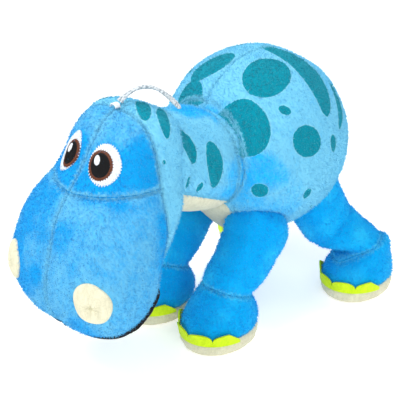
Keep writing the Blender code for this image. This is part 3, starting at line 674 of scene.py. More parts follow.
def cloth_material(name, dark, light, weave_scale, strength=0.35):
    """Smooth knitted or felted cloth with a fine, slightly uneven surface."""
    material, tree, shader = bare_material(name, 0.85, 0.1, 0.3)
    inputs = {"Clump Scale": 90.0, "Fibre Scale": weave_scale}
    pile = wired(tree, "ShaderNodeGroup", inputs, node_tree=PILE)
    mottled = maths(tree, "ADD", maths(tree, "MULTIPLY", pile.outputs["Nap"], 0.6),
                    maths(tree, "MULTIPLY", pile.outputs["Tips"], 0.6))
    colour = mixed(tree, between(tree, mottled, 0.35, 0.85), dark, light)
    tree.links.new(colour, shader.inputs["Base Color"])
    bumped(tree, shader, pile.outputs["Height"], strength, 0.4 * MM)
    return material


def thread_material(name, dark, light, roughness=0.38, gloss=0.5):
    """Satin embroidery thread. The strand field of the piece paints it lighter where a stitch stands up and
    darker between stitches, as painted shade, with some random grain; on the cord that field is random.
    """
    material, tree, shader = bare_material(name, roughness, 0.0, gloss)
    place = tree.nodes.new("ShaderNodeTexCoord").outputs["Object"]
    grain = maths(tree, "MULTIPLY", noise(tree, place, 500.0), 0.4)
    uneven = maths(tree, "ADD", maths(tree, "MULTIPLY", attribute(tree, "strand"), 0.75), grain)
    colour = mixed(tree, between(tree, uneven, 0.15, 0.8), dark, light)
    tree.links.new(colour, shader.inputs["Base Color"])
    bumped(tree, shader, noise(tree, place, 1800.0), 0.2, 0.2 * MM)
    return material


SPOT_TEAL = (0.001, 0.250, 0.345)
SPOT_LIGHT = (0.05, 0.40, 0.46)
SPOT_HALO = (0.36, 0.66, 0.76)
bpy.context.scene.view_settings.view_transform = "Standard"
PILE = pile_group()
FACE_PLUSH = plush_material("blue_plush_face", (0.004, 0.310, 0.70), (0.130, 0.46, 0.70), 0.44)
LEG_PLUSH = plush_material("blue_plush_legs", (0.001, 0.375, 0.80), (0.020, 0.50, 0.86), 0.28)
PRINT_PLUSH = plush_material("printed_light_plush", (0.006, 0.425, 0.84), (0.170, 0.54, 0.76), 0.84,
                             spots=True)
CREAM_KNIT = cloth_material("cream_knit", (0.58, 0.56, 0.40), (0.72, 0.70, 0.52), 1500.0)
LIME_FELT = cloth_material("lime_felt", (0.48, 0.70, 0.0), (0.64, 0.84, 0.01), 1200.0)
BLACK_FELT = cloth_material("black_felt_strip", (0.004, 0.004, 0.005), (0.012, 0.012, 0.014), 1200.0)
STUFFING = cloth_material("white_stuffing", (0.70, 0.70, 0.69), (0.88, 0.88, 0.87), 700.0, strength=0.8)
# the white thread's darker colour is the painted shade between its stitches
WHITE_THREAD = thread_material("white_satin_thread", (0.44, 0.50, 0.56), (0.80, 0.83, 0.86))
BROWN_THREAD = thread_material("brown_satin_thread", (0.016, 0.003, 0.001), (0.15, 0.040, 0.014), 0.5, 0.25)
BLACK_THREAD = thread_material("black_satin_thread", (0.001, 0.001, 0.001), (0.008, 0.008, 0.009), 0.5,
                               0.12)
# the cord is white cotton; both its colours are greyed as painted shade, so that it shows against the white
# surround
CORD_COTTON_PAINTED_SHADE = thread_material("white_cord", (0.26, 0.31, 0.35), (0.62, 0.67, 0.70), 0.6, 0.3)


PILE_FIBRES = pile_fibres_tree()
PILED = (FACE_PLUSH, LEG_PLUSH, PRINT_PLUSH)


# ---------------------------------------------------------------- seams, as surfaces over two axes
def face_seam(points):
    below = np.clip(MOUTH_CORNER - points[:, 2], 0, None)
    forward = 0.0055 * np.clip((0.172 - points[:, 2]) / 0.045, 0, 1)
    forward += 0.0060 * np.clip((0.128 - points[:, 2]) / 0.034, 0, 1)
    return FACE_SEAM - forward - MOUTH_SLOPE * below


def brow_seam(points):
    return 0.157 + 0.0035 * np.clip(np.abs(points[:, 0]) / 0.045, 0, 1)


def jaw_seam(points):
    return np.full(len(points), MOUTH_CORNER)


def belly_seam(points):
    root = 1 - (BELLY_HALF_WIDTH / TORSO_HALF[0]) ** 2 - (points[:, 1] / TORSO_HALF[1]) ** 2
    return np.minimum(TORSO_CENTRE[2] - TORSO_HALF[2] * np.sqrt(np.clip(root, 0, None)), BELLY_TOP)


def throat_seam(points):
    return 0.117 + 0.476 * (-0.068 - points[:, 1])


def tail_seam(points):
    return TAIL_PIVOT.z - (points[:, 1] - TAIL_PIVOT.y)


MIDDLE = (0, flat(0.0))


# ---------------------------------------------------------------- head
def head_surface(around=264, steps=15):
    levels = [HEAD_CROWN, *HEAD_LEVELS, HEAD_CHIN]
    first, last = HEAD_LEVELS[0], HEAD_LEVELS[-1]
    rows = smooth_rows([(first[0], first[2], first[1], -first[3], first[4]), *levels,
                        (last[0], last[2], last[1], -last[3], last[4])], steps)
    angles = np.linspace(0, 2 * math.pi, around, endpoint=False)
    rings = []
    for height, front, back, half, squareness in rows:
        cosine = np.sign(np.cos(angles)) * np.abs(np.cos(angles)) ** (2 / squareness)
        sine = np.sign(np.sin(angles)) * np.abs(np.sin(angles)) ** (2 / squareness)
        rings.append(np.stack([half * cosine, (front + back) / 2 + (back - front) / 2 * sine,
                               np.full(around, height)], axis=1))
    return skin_over(np.array(rings), "head")


def head_seam_distance(points):
    face = np.abs(points[:, 1] - face_seam(points))
    middle = np.abs(points[:, 0])
    in_front = points[:, 1] < face_seam(points) + 0.002
    brow = np.where(in_front, np.abs(points[:, 2] - brow_seam(points)), 1.0)
    middle = np.where(in_front | (points[:, 2] > MOUTH_CORNER), middle, 1.0)
    return np.minimum(np.minimum(face, middle), brow), face, middle, brow


def head_relief(points):
    _, face, middle, brow = head_seam_distance(points)
    height = np.minimum.reduce((sewn(points, face, 11, 2.0 * MM), sewn(points, middle, 12, 1.5 * MM),
                                sewn(points, brow, 13, 1.9 * MM)))
    tufted = closeness(points, CROWN_TUFT, TUFT_REACH)
    height += tufted * 0.5 * MM * ripple(points, 6 * MM, 14)
    height += 0.45 * MM * ripple(points, 34 * MM, 15)
    cheek = closeness(points, CHEEK_DIP, CHEEK_REACH, (1, .6, 1))
    return height - cheek * 0.8 * MM


def head_fields(points):
    return {"seam": head_seam_distance(points)[0], "brush": brushed(points, FACE_BRUSHED, 16)}


def nape_fields(points):
    return printed_fields(points, head_seam_distance(points)[0], HEAD_SPOTS, 0.5)


def build_head():
    whole = head_surface()
    lift(whole, head_relief)
    front = (1, face_seam, -1)
    back = (1, face_seam, 1)
    panels = (("brow_panel_", [front, (2, brow_seam, 1)], FACE_PLUSH, "plush_blue", head_fields),
              ("snout_panel_", [front, (2, brow_seam, -1)], FACE_PLUSH, "plush_blue", head_fields),
              ("nape_panel_", [back, (2, jaw_seam, 1)], PRINT_PLUSH, "plush_printed", nape_fields))
    for side, sign in SIDES:
        for name, cuts, material, slot_name, fields in panels:
            mesh = walled(cut_panel(name + side, whole, [(*MIDDLE, sign), *cuts]))
            skin = put(name + side + "_skin", mesh, material, [name + side], fields)
            stuffed(skin, "head")
    chin = walled(cut_panel("chin", whole, [back, (2, jaw_seam, -1)]))
    stuffed(put("chin_panel_skin", chin, FACE_PLUSH, ["chin_panel"], head_fields), "head")
    filling_for("head", head_surface(40, 2))
    return whole


def stuffed(piece, body):
    if body:
        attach(piece, body)


def filling_for(body, mesh):
    """The loose fibre inside a skin."""
    lift(mesh, lambda points: np.full(len(points), -5.0 * MM))
    name = body + "_filling"
    stuffed(put(name + "_fibre", mesh, STUFFING, [name]), body)


# ---------------------------------------------------------------- face details
def tree_of(mesh):
    places = [vertex.co.copy() for vertex in mesh.vertices]
    return BVHTree.FromPolygons(places, [tuple(face.vertices) for face in mesh.polygons])


def aimed(aim):
    out = aim.normalized()
    side = Vector((0.0, 0.0, 1.0)).cross(out).normalized()
    return Matrix((side, out.cross(side), out)).transposed()


def patch(name, surface, centre, aim, outline, height, stitches, radial, rows, around):
    """An embroidered patch that lies on a surface. outline(angle) gives its reach in its own plane."""
    frame_of = aimed(aim)
    angles = np.linspace(0, 2 * math.pi, around, endpoint=False)
    shares = [(i / rows) ** 0.9 for i in range(rows + 1)]

    def landed(local):
        return surface.ray_cast(centre + frame_of @ local, -aim.normalized())[:2]

    points, strands = [], []
    for share in shares:
        crown = 0.35 + 0.65 * math.sqrt(max(min(1.0, (1 - share) * 7), 0.0))
        for angle in angles:
            stray = 0.035 * math.sin(stitches * angle * 0.5 + 1.3) + 0.02 * math.sin(angle * 37.0)
            ragged = 1 + stray * (share > 0.96)
            x, y = outline(angle)
            local = Vector((x * share * ragged, y * share * ragged, RAY_START))
            # wave raises each stitch a little; as the strand field it also paints the thread lighter on the
            # crest and darker between stitches, as painted shade
            wave = 0.5 + 0.5 * math.cos(stitches * angle + 0.4 * share)
            if not radial:
                wave = 0.5 + 0.5 * math.cos(2 * math.pi * local.x / (0.55 * MM) + local.y * 400)
            hit, normal = landed(local)
            points.append(hit + normal * (height * crown + 0.16 * MM * wave))
            strands.append(wave)
    for share in shares:
        for angle in angles:
            x, y = outline(angle)
            hit, normal = landed(Vector((x * share, y * share, RAY_START)))
            points.append(hit - normal * 0.6 * MM)
            strands.append(0.5)
    return welded(name, points, shell_faces(rows, around), strands)


def egg(half_x, half_y, point=0.0, slant=0.0):
    """An oval outline, drawn up to a point at its top by the given share."""
    def outline(angle):
        x = half_x * math.cos(angle)
        y = half_y * math.sin(angle)
        if y > 0:
            x *= 1 - point * (y / half_y) ** 2
            y *= 1 + 0.22 * point
        return x + slant * y, y
    return outline


def nostril_rise(local, share, angle):
    """How high a nostril stands: its dome, its gathers, its dimple and two crossed stitches."""
    dome = 3.4 * MM * math.sqrt(max(0.0, 1 - share ** 2.6))
    fold = math.sin(9 * angle + 2.4 * math.sin(2 * angle)) * 0.5 + math.sin(14 * angle + 1) * 0.3
    gather = 0.45 * MM * fold * math.exp(-((share - 0.25) / 0.3) ** 2)
    dimple = -1.1 * MM * math.exp(-(share / 0.16) ** 2)
    upright = math.exp(-(local.x / (1.1 * MM)) ** 2)
    level = math.exp(-((local.y + 0.001) / (1.1 * MM)) ** 2)
    cross = -0.55 * MM * upright * math.exp(-(share / 0.6) ** 2)
    cross -= 0.45 * MM * level * math.exp(-(share / 0.5) ** 2)
    return 0.3 * MM + dome + gather + dimple + cross


def build_eyes(surface):
    """Four layers of satin stitches an eye. The right eye is narrower and more pointed."""
    for side, sign in SIDES:
        centre = Vector((EYE_CENTRE.x if sign > 0 else -RIGHT_EYE_OUT, EYE_CENTRE.y, EYE_CENTRE.z))
        aim = Vector((EYE_AIM.x * sign, EYE_AIM.y, EYE_AIM.z))
        frame_of = aimed(aim)
        squeeze, tilt, point = (1.0, 0.0, 0.06) if sign > 0 else (0.80, -0.12, 0.34)
        iris_at = centre + frame_of @ Vector((-0.0026 * sign, -0.0008, 0.0))
        glint_at = iris_at + frame_of @ Vector((-0.0027, 0.0030, 0.0))
        white = egg(SCLERA_HALF[0] * squeeze, SCLERA_HALF[1], point, tilt)
        iris = egg(IRIS_HALF[0] * squeeze, IRIS_HALF[1], slant=tilt)
        pupil = egg(PUPIL_HALF[0] * squeeze, PUPIL_HALF[1], slant=tilt)
        glint = egg(GLINT_HALF[0] * squeeze, GLINT_HALF[1])
        layers = (("sclera_", centre, white, 0.9 * MM, 84, True, WHITE_THREAD, "thread_white"),
                  ("iris_", iris_at, iris, 1.35 * MM, 64, True, BROWN_THREAD, "thread_brown"),
                  ("pupil_", iris_at, pupil, 1.7 * MM, 60, False, BLACK_THREAD, "thread_black"),
                  ("glint_", glint_at, glint, 2.1 * MM, 16, False, WHITE_THREAD, "thread_white"))
        for name, middle, outline, height, stitches, radial, material, slot_name in layers:
            rows, around = (10, 64) if name == "glint_" else (24, 252)
            mesh = patch(name + side, surface, middle, aim, outline, height, stitches, radial, rows, around)
            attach(put(name + side + "_embroidery", mesh, material, [name + side]), "head")


def build_nostrils(surface):
    """Round cream patches, gathered towards their middle by a few crossed stitches."""
    rows, around = 36, 180
    for side, sign in SIDES:
        centre = Vector((NOSTRIL_CENTRE.x * sign, NOSTRIL_CENTRE.y, NOSTRIL_CENTRE.z))
        aim = Vector((NOSTRIL_AIM.x * sign, NOSTRIL_AIM.y, NOSTRIL_AIM.z)).normalized()
        frame_of = aimed(aim)
        tops, unders = [], []
        for i in range(rows + 1):
            share = i / rows
            for j in range(around):
                angle = 2 * math.pi * j / around
                wobble = 1 + 0.02 * math.sin(3 * angle + 1) + 0.015 * math.sin(5 * angle)
                local = Vector((math.cos(angle) * NOSTRIL_RADIUS * share * wobble,
                                math.sin(angle) * NOSTRIL_RADIUS * share * wobble, RAY_START))
                hit, normal, _, _ = surface.ray_cast(centre + frame_of @ local, -aim)
                tops.append(hit + normal * nostril_rise(local, share, angle))
                unders.append(hit - normal * 0.8 * MM)
        mesh = welded("nostril", tops + unders, shell_faces(rows, around))
        piece = put("nostril_" + side + "_patch", mesh, CREAM_KNIT, ["nostril_" + side])
        stuffed(piece, "head")


def build_mouth(whole):
    """The black felt strip along the jaw, below the corners of the mouth."""
    def strip_front(points):
        return face_seam(points) - MOUTH_WIDTH

    raised = whole.copy()
    lift(raised, lambda points: np.full(len(points), 2.4 * MM))
    strip = cut_panel("mouth", raised, [(1, face_seam, -1), (1, strip_front, 1), (2, jaw_seam, -1)])
    mesh = walled(strip, 3.0 * MM)
    piece = put("mouth_line_strip", mesh, BLACK_FELT, ["mouth_line"])
    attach(piece, "head")


def build_loop():
    """A white two-ply cord, doubled into a loop and tacked into the crown seam."""
    controls = [np.array(p) for p in CORD_ROUTE]
    rows = smooth_rows([2 * controls[0] - controls[1], *controls, 2 * controls[-1] - controls[-2]], 14)
    around = 20
    rings = []
    travelled = 0.0
    side = np.array((1.0, 0.0, 0.0))
    for i, row in enumerate(rows):
        ahead = rows[min(i + 1, len(rows) - 1)] - rows[max(i - 1, 0)]
        ahead /= np.linalg.norm(ahead)
        if i:
            travelled += np.linalg.norm(rows[i] - rows[i - 1])
        side -= ahead * (side @ ahead)
        side /= np.linalg.norm(side)
        up = np.cross(ahead, side)
        twist = travelled / CORD_LAY * 2 * math.pi
        ring = []
        for j in range(around):
            angle = 2 * math.pi * j / around
            lobes = 0.80 + 0.20 * abs(math.cos(angle - twist))
            ring.append(row + CORD_RADIUS * lobes * (math.cos(angle) * side + math.sin(angle) * up))
        rings.append(ring)
    rings = np.array(rings)
    first, last = (np.repeat(ring.mean(axis=0)[None], around, 0)[None] for ring in (rings[0], rings[-1]))
    mesh = skin_over(np.concatenate([first, rings, last]), "loop")
    give_field(mesh, "strand", 0.5 + 0.5 * ripple(points_of(mesh), 2 * MM, 41))
    piece = put("hang_loop_cord", mesh, CORD_COTTON_PAINTED_SHADE, ["hang_loop"])
    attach(piece, "head")


def build_tack():
    """A short bar of close stitches that holds both ends of the loop."""
    work = bmesh.new()
    for i in range(TACK_STITCHES):
        y = TACK_CENTRE.y + (i - TACK_STITCHES // 2) * TACK_SPACING
        rows = []
        for k in range(13):
            share = k / 12
            x = TACK_CENTRE.x + (share - 0.5) * TACK_LENGTH
            z = TACK_CENTRE.z - 1.6 * MM + 2.6 * MM * math.sqrt(max(0.0, 1 - (2 * share - 1) ** 2)) ** 0.8
            rows.append([(x, y + TACK_THREAD * math.cos(a), z + TACK_THREAD * math.sin(a))
                         for a in np.linspace(0, 2 * math.pi, 8, endpoint=False)])
        rings = [[work.verts.new(p) for p in row] for row in rows]
        for near, far in zip(rings, rings[1:]):
            for a in range(8):
                b = (a + 1) % 8
                work.faces.new((near[a], near[b], far[b], far[a]))
        work.faces.new(rings[0])
        work.faces.new(rings[-1])
    mesh = bpy.data.meshes.new("tack")
    bmesh.ops.recalc_face_normals(work, faces=work.faces)
    work.to_mesh(mesh)
    work.free()
    give_field(mesh, "strand", np.full(len(mesh.vertices), 0.7))
    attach(put("loop_bar_tack_stitches", mesh, WHITE_THREAD, ["loop_bar_tack"]), "head")


# ---------------------------------------------------------------- torso
def torso_surface(around=300, along=190):
    rings = []
    for i in range(along + 1):
        angle = math.pi * i / along
        y = -TORSO_HALF[1] * math.cos(angle)
        radius = math.sin(angle)
        turn = np.linspace(0, 2 * math.pi, around, endpoint=False)
        rings.append(np.stack([TORSO_HALF[0] * radius * np.cos(turn), np.full(around, y),
                               TORSO_CENTRE[2] + TORSO_HALF[2] * radius * np.sin(turn)], axis=1))
    return skin_over(np.array(rings), "torso")


def line_distance(points, start, end, radius):
    start, end = np.array(start), np.array(end)
    along = end - start
    share = np.clip((points - start) @ along / (along @ along), 0, 1)
    return np.abs(np.linalg.norm(points - start - share[:, None] * along, axis=1) - radius)


def torso_seam_distance(points):
    under = points[:, 2] < belly_seam(points)
    back = np.where(points[:, 2] > BELLY_TOP, np.abs(points[:, 0]), 1.0)
    side = np.abs(points[:, 2] - belly_seam(points)) * 0.75
    chest = np.where(under, np.abs(points[:, 1] - CHEST_BACK), 1.0)
    neck = line_distance(points, (0, -0.03, 0.144), (0, -0.12, 0.152), 0.0435)
    return back, side, chest, neck


def torso_relief(points):
    back, side, chest, neck = torso_seam_distance(points)
    height = (sewn(points, back, 21, 0.7 * MM) + sewn(points, side, 22, 0.9 * MM)
              + sewn(points, chest, 23, 0.9 * MM))
    height += sewn(points, neck, 24, 1.5 * MM, 7 * MM, 2 * MM)
    for name in FOOT_PLACES:
        near = line_distance(points, *leg_line(name), LEG_COLLAR)
        height += sewn(points, near, 25, 1.0 * MM, 6 * MM, 2 * MM)
    belly = closeness(points, BELLY_SAG_CENTRE, 1.0, BELLY_SAG_HALF)
    return height + 0.55 * MM * ripple(points, 45 * MM, 27) + 6.0 * MM * belly


def torso_fields(points):
    return printed_fields(points, np.minimum.reduce(torso_seam_distance(points)), TORSO_SPOTS)


def build_torso():
    whole = torso_surface()
    lift(whole, torso_relief)
    panels = [("back_panel_left", [(*MIDDLE, 1), (2, belly_seam, 1)], PRINT_PLUSH, "plush_printed"),
              ("back_panel_right", [(*MIDDLE, -1), (2, belly_seam, 1)], PRINT_PLUSH, "plush_printed"),
              ("chest_panel", [(2, belly_seam, -1), (1, flat(CHEST_BACK), -1)], CREAM_KNIT, "plush_cream"),
              ("belly_panel", [(2, belly_seam, -1), (1, flat(CHEST_BACK), 1)], LEG_PLUSH, "plush_blue")]
    for name, cuts, material, slot_name in panels:
        mesh = walled(cut_panel(name, whole, cuts))
        stuffed(put(name + "_skin", mesh, material, [name], torso_fields), "torso")
    filling_for("torso", torso_surface(40, 24))


# ---------------------------------------------------------------- neck
def neck_surface(around=220, steps=16):
    forward = Vector((0.0, -1.0, 0.0))
    rings = ball_rings(NECK_PIVOT, forward, NECK_BALL, (-90, -64, -38, -14), around)
    for distance, radius, raise_by in NECK_STATIONS:
        centre = NECK_PIVOT + forward * distance + Vector((0, 0, raise_by))
        rings.append(ring_round(centre, forward, radius, around))
    tip = NECK_PIVOT + forward * (NECK_STATIONS[-1][0] + 0.012) + Vector((0, 0, NECK_STATIONS[-1][2]))
    rings.append(ring_round(tip, forward, 1e-6, around))
    rings = [2 * rings[0] - rings[1], *rings, rings[-1]]
    return skin_over(smooth_rows(rings, steps), "neck")


def neck_relief(points):
    height = sewn(points, np.abs(points[:, 0]) + np.where(points[:, 2] > 0.15, 0, 1.0), 31, 0.6 * MM)
    height += sewn(points, np.abs(points[:, 2] - throat_seam(points)), 32, 0.9 * MM)
    root = np.abs(points[:, 1] - NECK_ROOT_SEAM)
    height += sewn(points, root, 33, 0.9 * MM, 5 * MM)
    crease = np.abs(points[:, 1] + 0.112 - 0.25 * (points[:, 2] - 0.165))
    height += sewn(points, crease, 34, 0.7 * MM, 4 * MM) * (points[:, 2] > 0.14)
    return height + 0.4 * MM * ripple(points, 26 * MM, 35)


def neck_fields(points):
    distance = np.minimum(np.abs(points[:, 1] - NECK_ROOT_SEAM), np.abs(points[:, 2] - throat_seam(points)))
    return printed_fields(points, distance, NECK_SPOTS)


def build_neck():
    whole = neck_surface()
    lift(whole, neck_relief)
    panels = [("neck_panel_left", [(*MIDDLE, 1), (2, throat_seam, 1)], PRINT_PLUSH, "plush_printed"),
              ("neck_panel_right", [(*MIDDLE, -1), (2, throat_seam, 1)], PRINT_PLUSH, "plush_printed"),
              ("throat_panel", [(2, throat_seam, -1)], CREAM_KNIT, "plush_cream")]
    for name, cuts, material, slot_name in panels:
        for part, side, bodies, span in NECK_SPANS:
            mesh = walled(cut_panel(name + part, whole, [*cuts, (1, flat(NECK_SPLIT), side)]))
            piece = put(name + "_" + part + "_skin", mesh, material, [name], neck_fields)
            stuffed(piece, None)
            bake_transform(piece)
    filling_for("neck", neck_surface(32, 3))


# ---------------------------------------------------------------- legs
def leg_line(name):
    hip = HIPS[name.split("_")[0]].copy()
    if name.endswith("right"):
        hip.x = -hip.x
    return hip, Vector((*FOOT_PLACES[name], ANKLE_HEIGHT))


def foot_ring(name, height, half_wide, half_long, toe, around):
    angles = np.linspace(0, 2 * math.pi, around, endpoint=False)
    x, y = FOOT_PLACES[name]
    return np.stack([x + half_wide * np.cos(angles), y - toe - half_long * np.sin(angles),
                     np.full(around, height)], axis=1)


def leg_surface(name, around=128, steps=14):
    hip, ankle = leg_line(name)
    down = (ankle - hip).normalized()
    plumb = Vector((0, 0, -1))
    length = (ankle - hip).length
    rings = ball_rings(hip, down, HIP_RADIUS, (-90, -62, -36, -12), around)
    for share, radius in LEG_TUBE:
        bow = LEG_BOW.get(name, Vector()) * math.sin(math.pi * share)
        way = down.lerp(plumb, share ** 2.2)
        rings.append(ring_round(hip + down * length * share + bow, way, radius, around))
    rings.append(ring_round(ankle, down.lerp(plumb, 0.75), ANKLE_RADIUS, around))
    for level in (*FOOT_LEVELS, FOOT_FLOOR_LEVEL):
        rings.append(foot_ring(name, *level, around))
    floor = rings[-1]
    tip = np.repeat(floor.mean(axis=0)[None], around, 0)
    rings = [2 * rings[0] - rings[1], *rings, tip, 2 * tip - floor]
    return skin_over(smooth_rows(rings, steps), name)


def ankle_seam_of(name):
    """The ankle's seam, which leans half way towards being square to the leg."""
    hip, ankle = leg_line(name)
    down = (ankle - hip).normalized()
    slope = np.array((down.x, down.y)) / -down.z * 0.42

    def seam(points):
        away = (points[:, :2] - np.array((ankle.x, ankle.y))) @ slope
        return ANKLE_HEIGHT + np.clip(away, -0.011, 0.011)
    return seam


def leg_distances(name, points):
    hip, ankle = leg_line(name)
    down = np.array((ankle - hip).normalized())
    travelled = (points - np.array(hip)) @ down
    fold = np.abs(travelled - (0.026 if name.startswith("hind") else 0.012))
    ankle_seam = np.abs(points[:, 2] - ankle_seam_of(name)(points))
    return fold, ankle_seam, np.abs(points[:, 2] - FOOT_FLOOR)


def leg_relief(name):
    fold_depth = 1.0 if name.startswith("hind") else 0.5

    def relief(points):
        fold, ankle_seam, sole_seam = leg_distances(name, points)
        height = sewn(points, ankle_seam, 51, 1.2 * MM, 6 * MM, 1.3 * MM)
        height += sewn(points, fold, 52, 1.0 * MM, 6 * MM, 2 * MM) * fold_depth
        height += 0.4 * MM * ripple(points, 24 * MM, 53 + len(name))
        return height + sewn(points, sole_seam, 54, 0.4 * MM, 3 * MM)
    return relief


def build_legs():
    for name in FOOT_PLACES:
        def fields(points, name=name):
            distances = leg_distances(name, points)
            brush = 0.35 + 0.35 * ripple(points, 30 * MM, 61 + len(name))
            return {"seam": np.minimum(distances[1], distances[2]), "brush": brush}

        leg = name + "_leg"
        hip, ankle = leg_line(name)
        whole = leg_surface(name)
        lift(whole, leg_relief(name))
        sleeve = walled(cut_panel(name + "_sleeve", whole, [(2, ankle_seam_of(name), 1)]))
        piece = put(name + "_sleeve_skin", sleeve, LEG_PLUSH, [leg + "_sleeve"], fields)
        stuffed(piece, None)
        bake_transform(piece)
        upper = walled(cut_panel(name + "_foot", whole, [(2, ankle_seam_of(name), -1)]))
        foot = put(name + "_foot_skin", upper, LEG_PLUSH, [name + "_foot_upper"], fields)
        stuffed(foot, leg)
        filling_for(leg, leg_surface(name, 24, 2))
        build_sole(name)
        build_claws(name)


def build_sole(name):
    around = 128
    rings = [foot_ring(name, *level, around) for level in SOLE_LEVELS]
    middle = rings[0].mean(axis=0)
    top = np.repeat(np.array((middle[0], middle[1], SOLE_LEVELS[0][0]))[None], around, 0)
    bottom = np.repeat(np.array((middle[0], middle[1], 0.0))[None], around, 0)
    walls = smooth_rows([rings[0] + (rings[0] - rings[1]), *rings, bottom], 8)
    inner = [top, (top + rings[0]) / 2]
    rings = np.concatenate([np.array(inner), walls, (0.5 * (walls[-1] + bottom))[None], bottom[None]])
    mesh = skin_over(rings, "sole")

    def relief(points):
        side = np.clip(points[:, 2] / 0.006, 0, 1) * np.clip((0.0138 - points[:, 2]) / 0.002, 0, 1)
        return side * (0.35 * MM * ripple(points, 7 * MM, 71) + 0.12 * MM * ripple(points, 2.5 * MM, 72))

    lift(mesh, relief)
    points = points_of(mesh)
    points[:, 2] = np.maximum(points[:, 2], 0.0)
    set_points(mesh, points)
    stuffed(put(name + "_sole_pad", mesh, CREAM_KNIT, [name + "_sole"]), name + "_leg")


def build_claws(name):
    """A lime felt strip caught in the sole seam, cut in rounded claws that stand up over the toes."""
    steps, rows = 120, 10
    place_x, place_y = FOOT_PLACES[name]
    points = []
    for layer in (0, 1):
        for i in range(steps + 1):
            share = i / steps
            angle = -math.pi / 2 + CLAW_SPREAD * (2 * share - 1)
            lobe = abs(math.sin(math.pi * CLAW_LOBES * share)) ** 0.45
            taper = min(1.0, 6 * min(share, 1 - share) + 0.35)
            height = CLAW_HEIGHT * (0.30 + 0.70 * lobe) * taper
            for k in range(rows + 1):
                up = k / rows
                z = FOOT_FLOOR - 1.0 * MM + (height + 1.0 * MM) * up
                lean = 0.4 * MM + 1.9 * MM * up ** 1.5 * lobe + 0.5 * MM * math.sin(9 * angle + 1) * up
                bulge = 0.9 * MM * math.sin(math.pi * min(1.0, z / 0.03)) + lean + layer * CLAW_FELT
                x = math.cos(angle) * (CLAW_HALF_WIDE + bulge)
                y = math.sin(angle) * (CLAW_HALF_LONG + bulge) - TOE_FORWARD
                points.append((place_x + x, place_y + y, z))
    layer_size = (steps + 1) * (rows + 1)

    def index(i, k, layer):
        return layer * layer_size + i * (rows + 1) + k

    faces = []
    for i in range(steps):
        for k in range(rows):
            faces.append((index(i, k, 1), index(i + 1, k, 1), index(i + 1, k + 1, 1), index(i, k + 1, 1)))
            faces.append((index(i, k, 0), index(i, k + 1, 0), index(i + 1, k + 1, 0), index(i + 1, k, 0)))
        faces.append((index(i, 0, 0), index(i + 1, 0, 0), index(i + 1, 0, 1), index(i, 0, 1)))
        faces.append((index(i, rows, 0), index(i, rows, 1), index(i + 1, rows, 1), index(i + 1, rows, 0)))
    for k in range(rows):
        faces.append((index(0, k, 0), index(0, k, 1), index(0, k + 1, 1), index(0, k + 1, 0)))
        faces.append((index(steps, k, 0), index(steps, k + 1, 0), index(steps, k + 1, 1), index(steps, k, 1)))
    mesh = bpy.data.meshes.new("claws")
    mesh.from_pydata(points, [], faces)
    outward(mesh)
    piece = put(name + "_claws_felt", mesh, LIME_FELT, [name + "_claws"], sharp=40.0)
    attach(piece, name + "_leg")


# ---------------------------------------------------------------- tail
def tail_surface(around=120, steps=14):
    spine = [Vector(station[:3]) for station in TAIL_STATIONS]
    away = (spine[0] - TAIL_PIVOT).normalized()
    rings = ball_rings(TAIL_PIVOT, away, TAIL_BALL, (-90, -55, -22), around)
    for i, point in enumerate(spine):
        ahead = spine[min(i + 1, len(spine) - 1)] - spine[max(i - 1, 0)]
        rings.append(ring_round(point, ahead, TAIL_STATIONS[i][3], around))
    end_way = (spine[-1] - spine[-2]).normalized()
    rings.append(ring_round(spine[-1] + end_way * TAIL_STATIONS[-1][3] * 0.8, end_way, 1e-6, around))
    rings = [2 * rings[0] - rings[1], *rings, rings[-2]]
    return skin_over(smooth_rows(rings, steps), "tail")


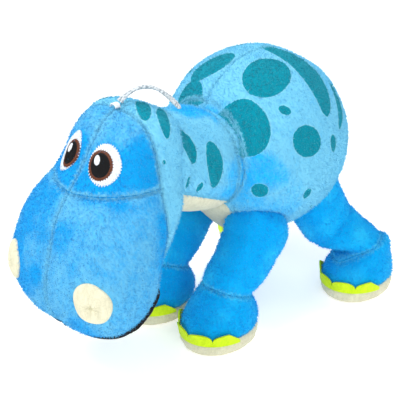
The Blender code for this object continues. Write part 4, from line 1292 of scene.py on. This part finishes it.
def build_tail():
    def seams(points):
        return np.abs(points[:, 2] - tail_seam(points)) * 0.7

    def fields(points):
        brush = 0.3 + 0.2 * ripple(points, 24 * MM, 81)
        return {"seam": seams(points), "brush": brush, "spot": spot_edge(points, ())}

    def relief(points):
        return sewn(points, seams(points), 82, 0.8 * MM) + 0.3 * MM * ripple(points, 20 * MM, 83)

    whole = tail_surface()
    lift(whole, relief)
    for name, side in (("tail_panel_upper", 1), ("tail_panel_lower", -1)):
        mesh = walled(cut_panel(name, whole, [(2, tail_seam, side)]))
        piece = put(name + "_skin", mesh, PRINT_PLUSH, [name], fields)
        stuffed(piece, None)
        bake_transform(piece)
    filling_for("tail", tail_surface(24, 2))


# ---------------------------------------------------------------- stage, light and camera
def build_stage():
    """A pale floor, an even white surround and three soft lamps."""
    bpy.ops.mesh.primitive_circle_add(vertices=96, radius=4.0, fill_type="NGON")
    floor = bpy.context.object
    floor.name = "pale_floor"
    material, _, shader = bare_material("pale_floor", 0.9, 0.0, 0.1)
    shader.inputs["Base Color"].default_value = (0.93, 0.93, 0.93, 1.0)
    shader.inputs["Emission Color"].default_value = (1.0, 1.0, 1.0, 1.0)
    shader.inputs["Emission Strength"].default_value = FLOOR_GLOW
    floor.data.materials.append(material)
    world = bpy.data.worlds.new("studio")
    bpy.context.scene.world = world
    world.use_nodes = True
    surround = world.node_tree.nodes["Background"]
    surround.inputs["Color"].default_value = (1.0, 1.0, 1.0, 1.0)
    surround.inputs["Strength"].default_value = WORLD_LIGHT
    middle = Vector((0.0, 0.0, 0.10))
    for name, place, power, size in LAMPS:
        lamp = bpy.data.lights.new(name, "AREA")
        lamp.energy = power
        lamp.size = size
        holder = bpy.data.objects.new(name, lamp)
        holder.location = place
        holder.rotation_euler = (middle - Vector(place)).to_track_quat("-Z", "Y").to_euler()
        bpy.context.scene.collection.objects.link(holder)


def build_camera():
    camera = bpy.data.objects.new("camera", bpy.data.cameras.new("camera"))
    bpy.context.scene.collection.objects.link(camera)
    level = math.cos(CAMERA_ELEVATION)
    back = Vector((math.sin(CAMERA_AZIMUTH) * level, -math.cos(CAMERA_AZIMUTH) * level,
                   math.sin(CAMERA_ELEVATION)))
    camera.location = CAMERA_TARGET + HOME + back * CAMERA_DISTANCE
    camera.rotation_euler = (-back).to_track_quat("-Z", "Y").to_euler()
    camera.data.lens = CAMERA_LENS
    camera.data.sensor_width = 36.0
    bpy.context.scene.camera = camera


build_camera()
build_loop()
build_tack()
head_skin = build_head()
head_tree = tree_of(head_skin)
build_eyes(head_tree)
build_nostrils(head_tree)
build_mouth(head_skin)
build_torso()
build_neck()
build_legs()
build_tail()
build_stage()
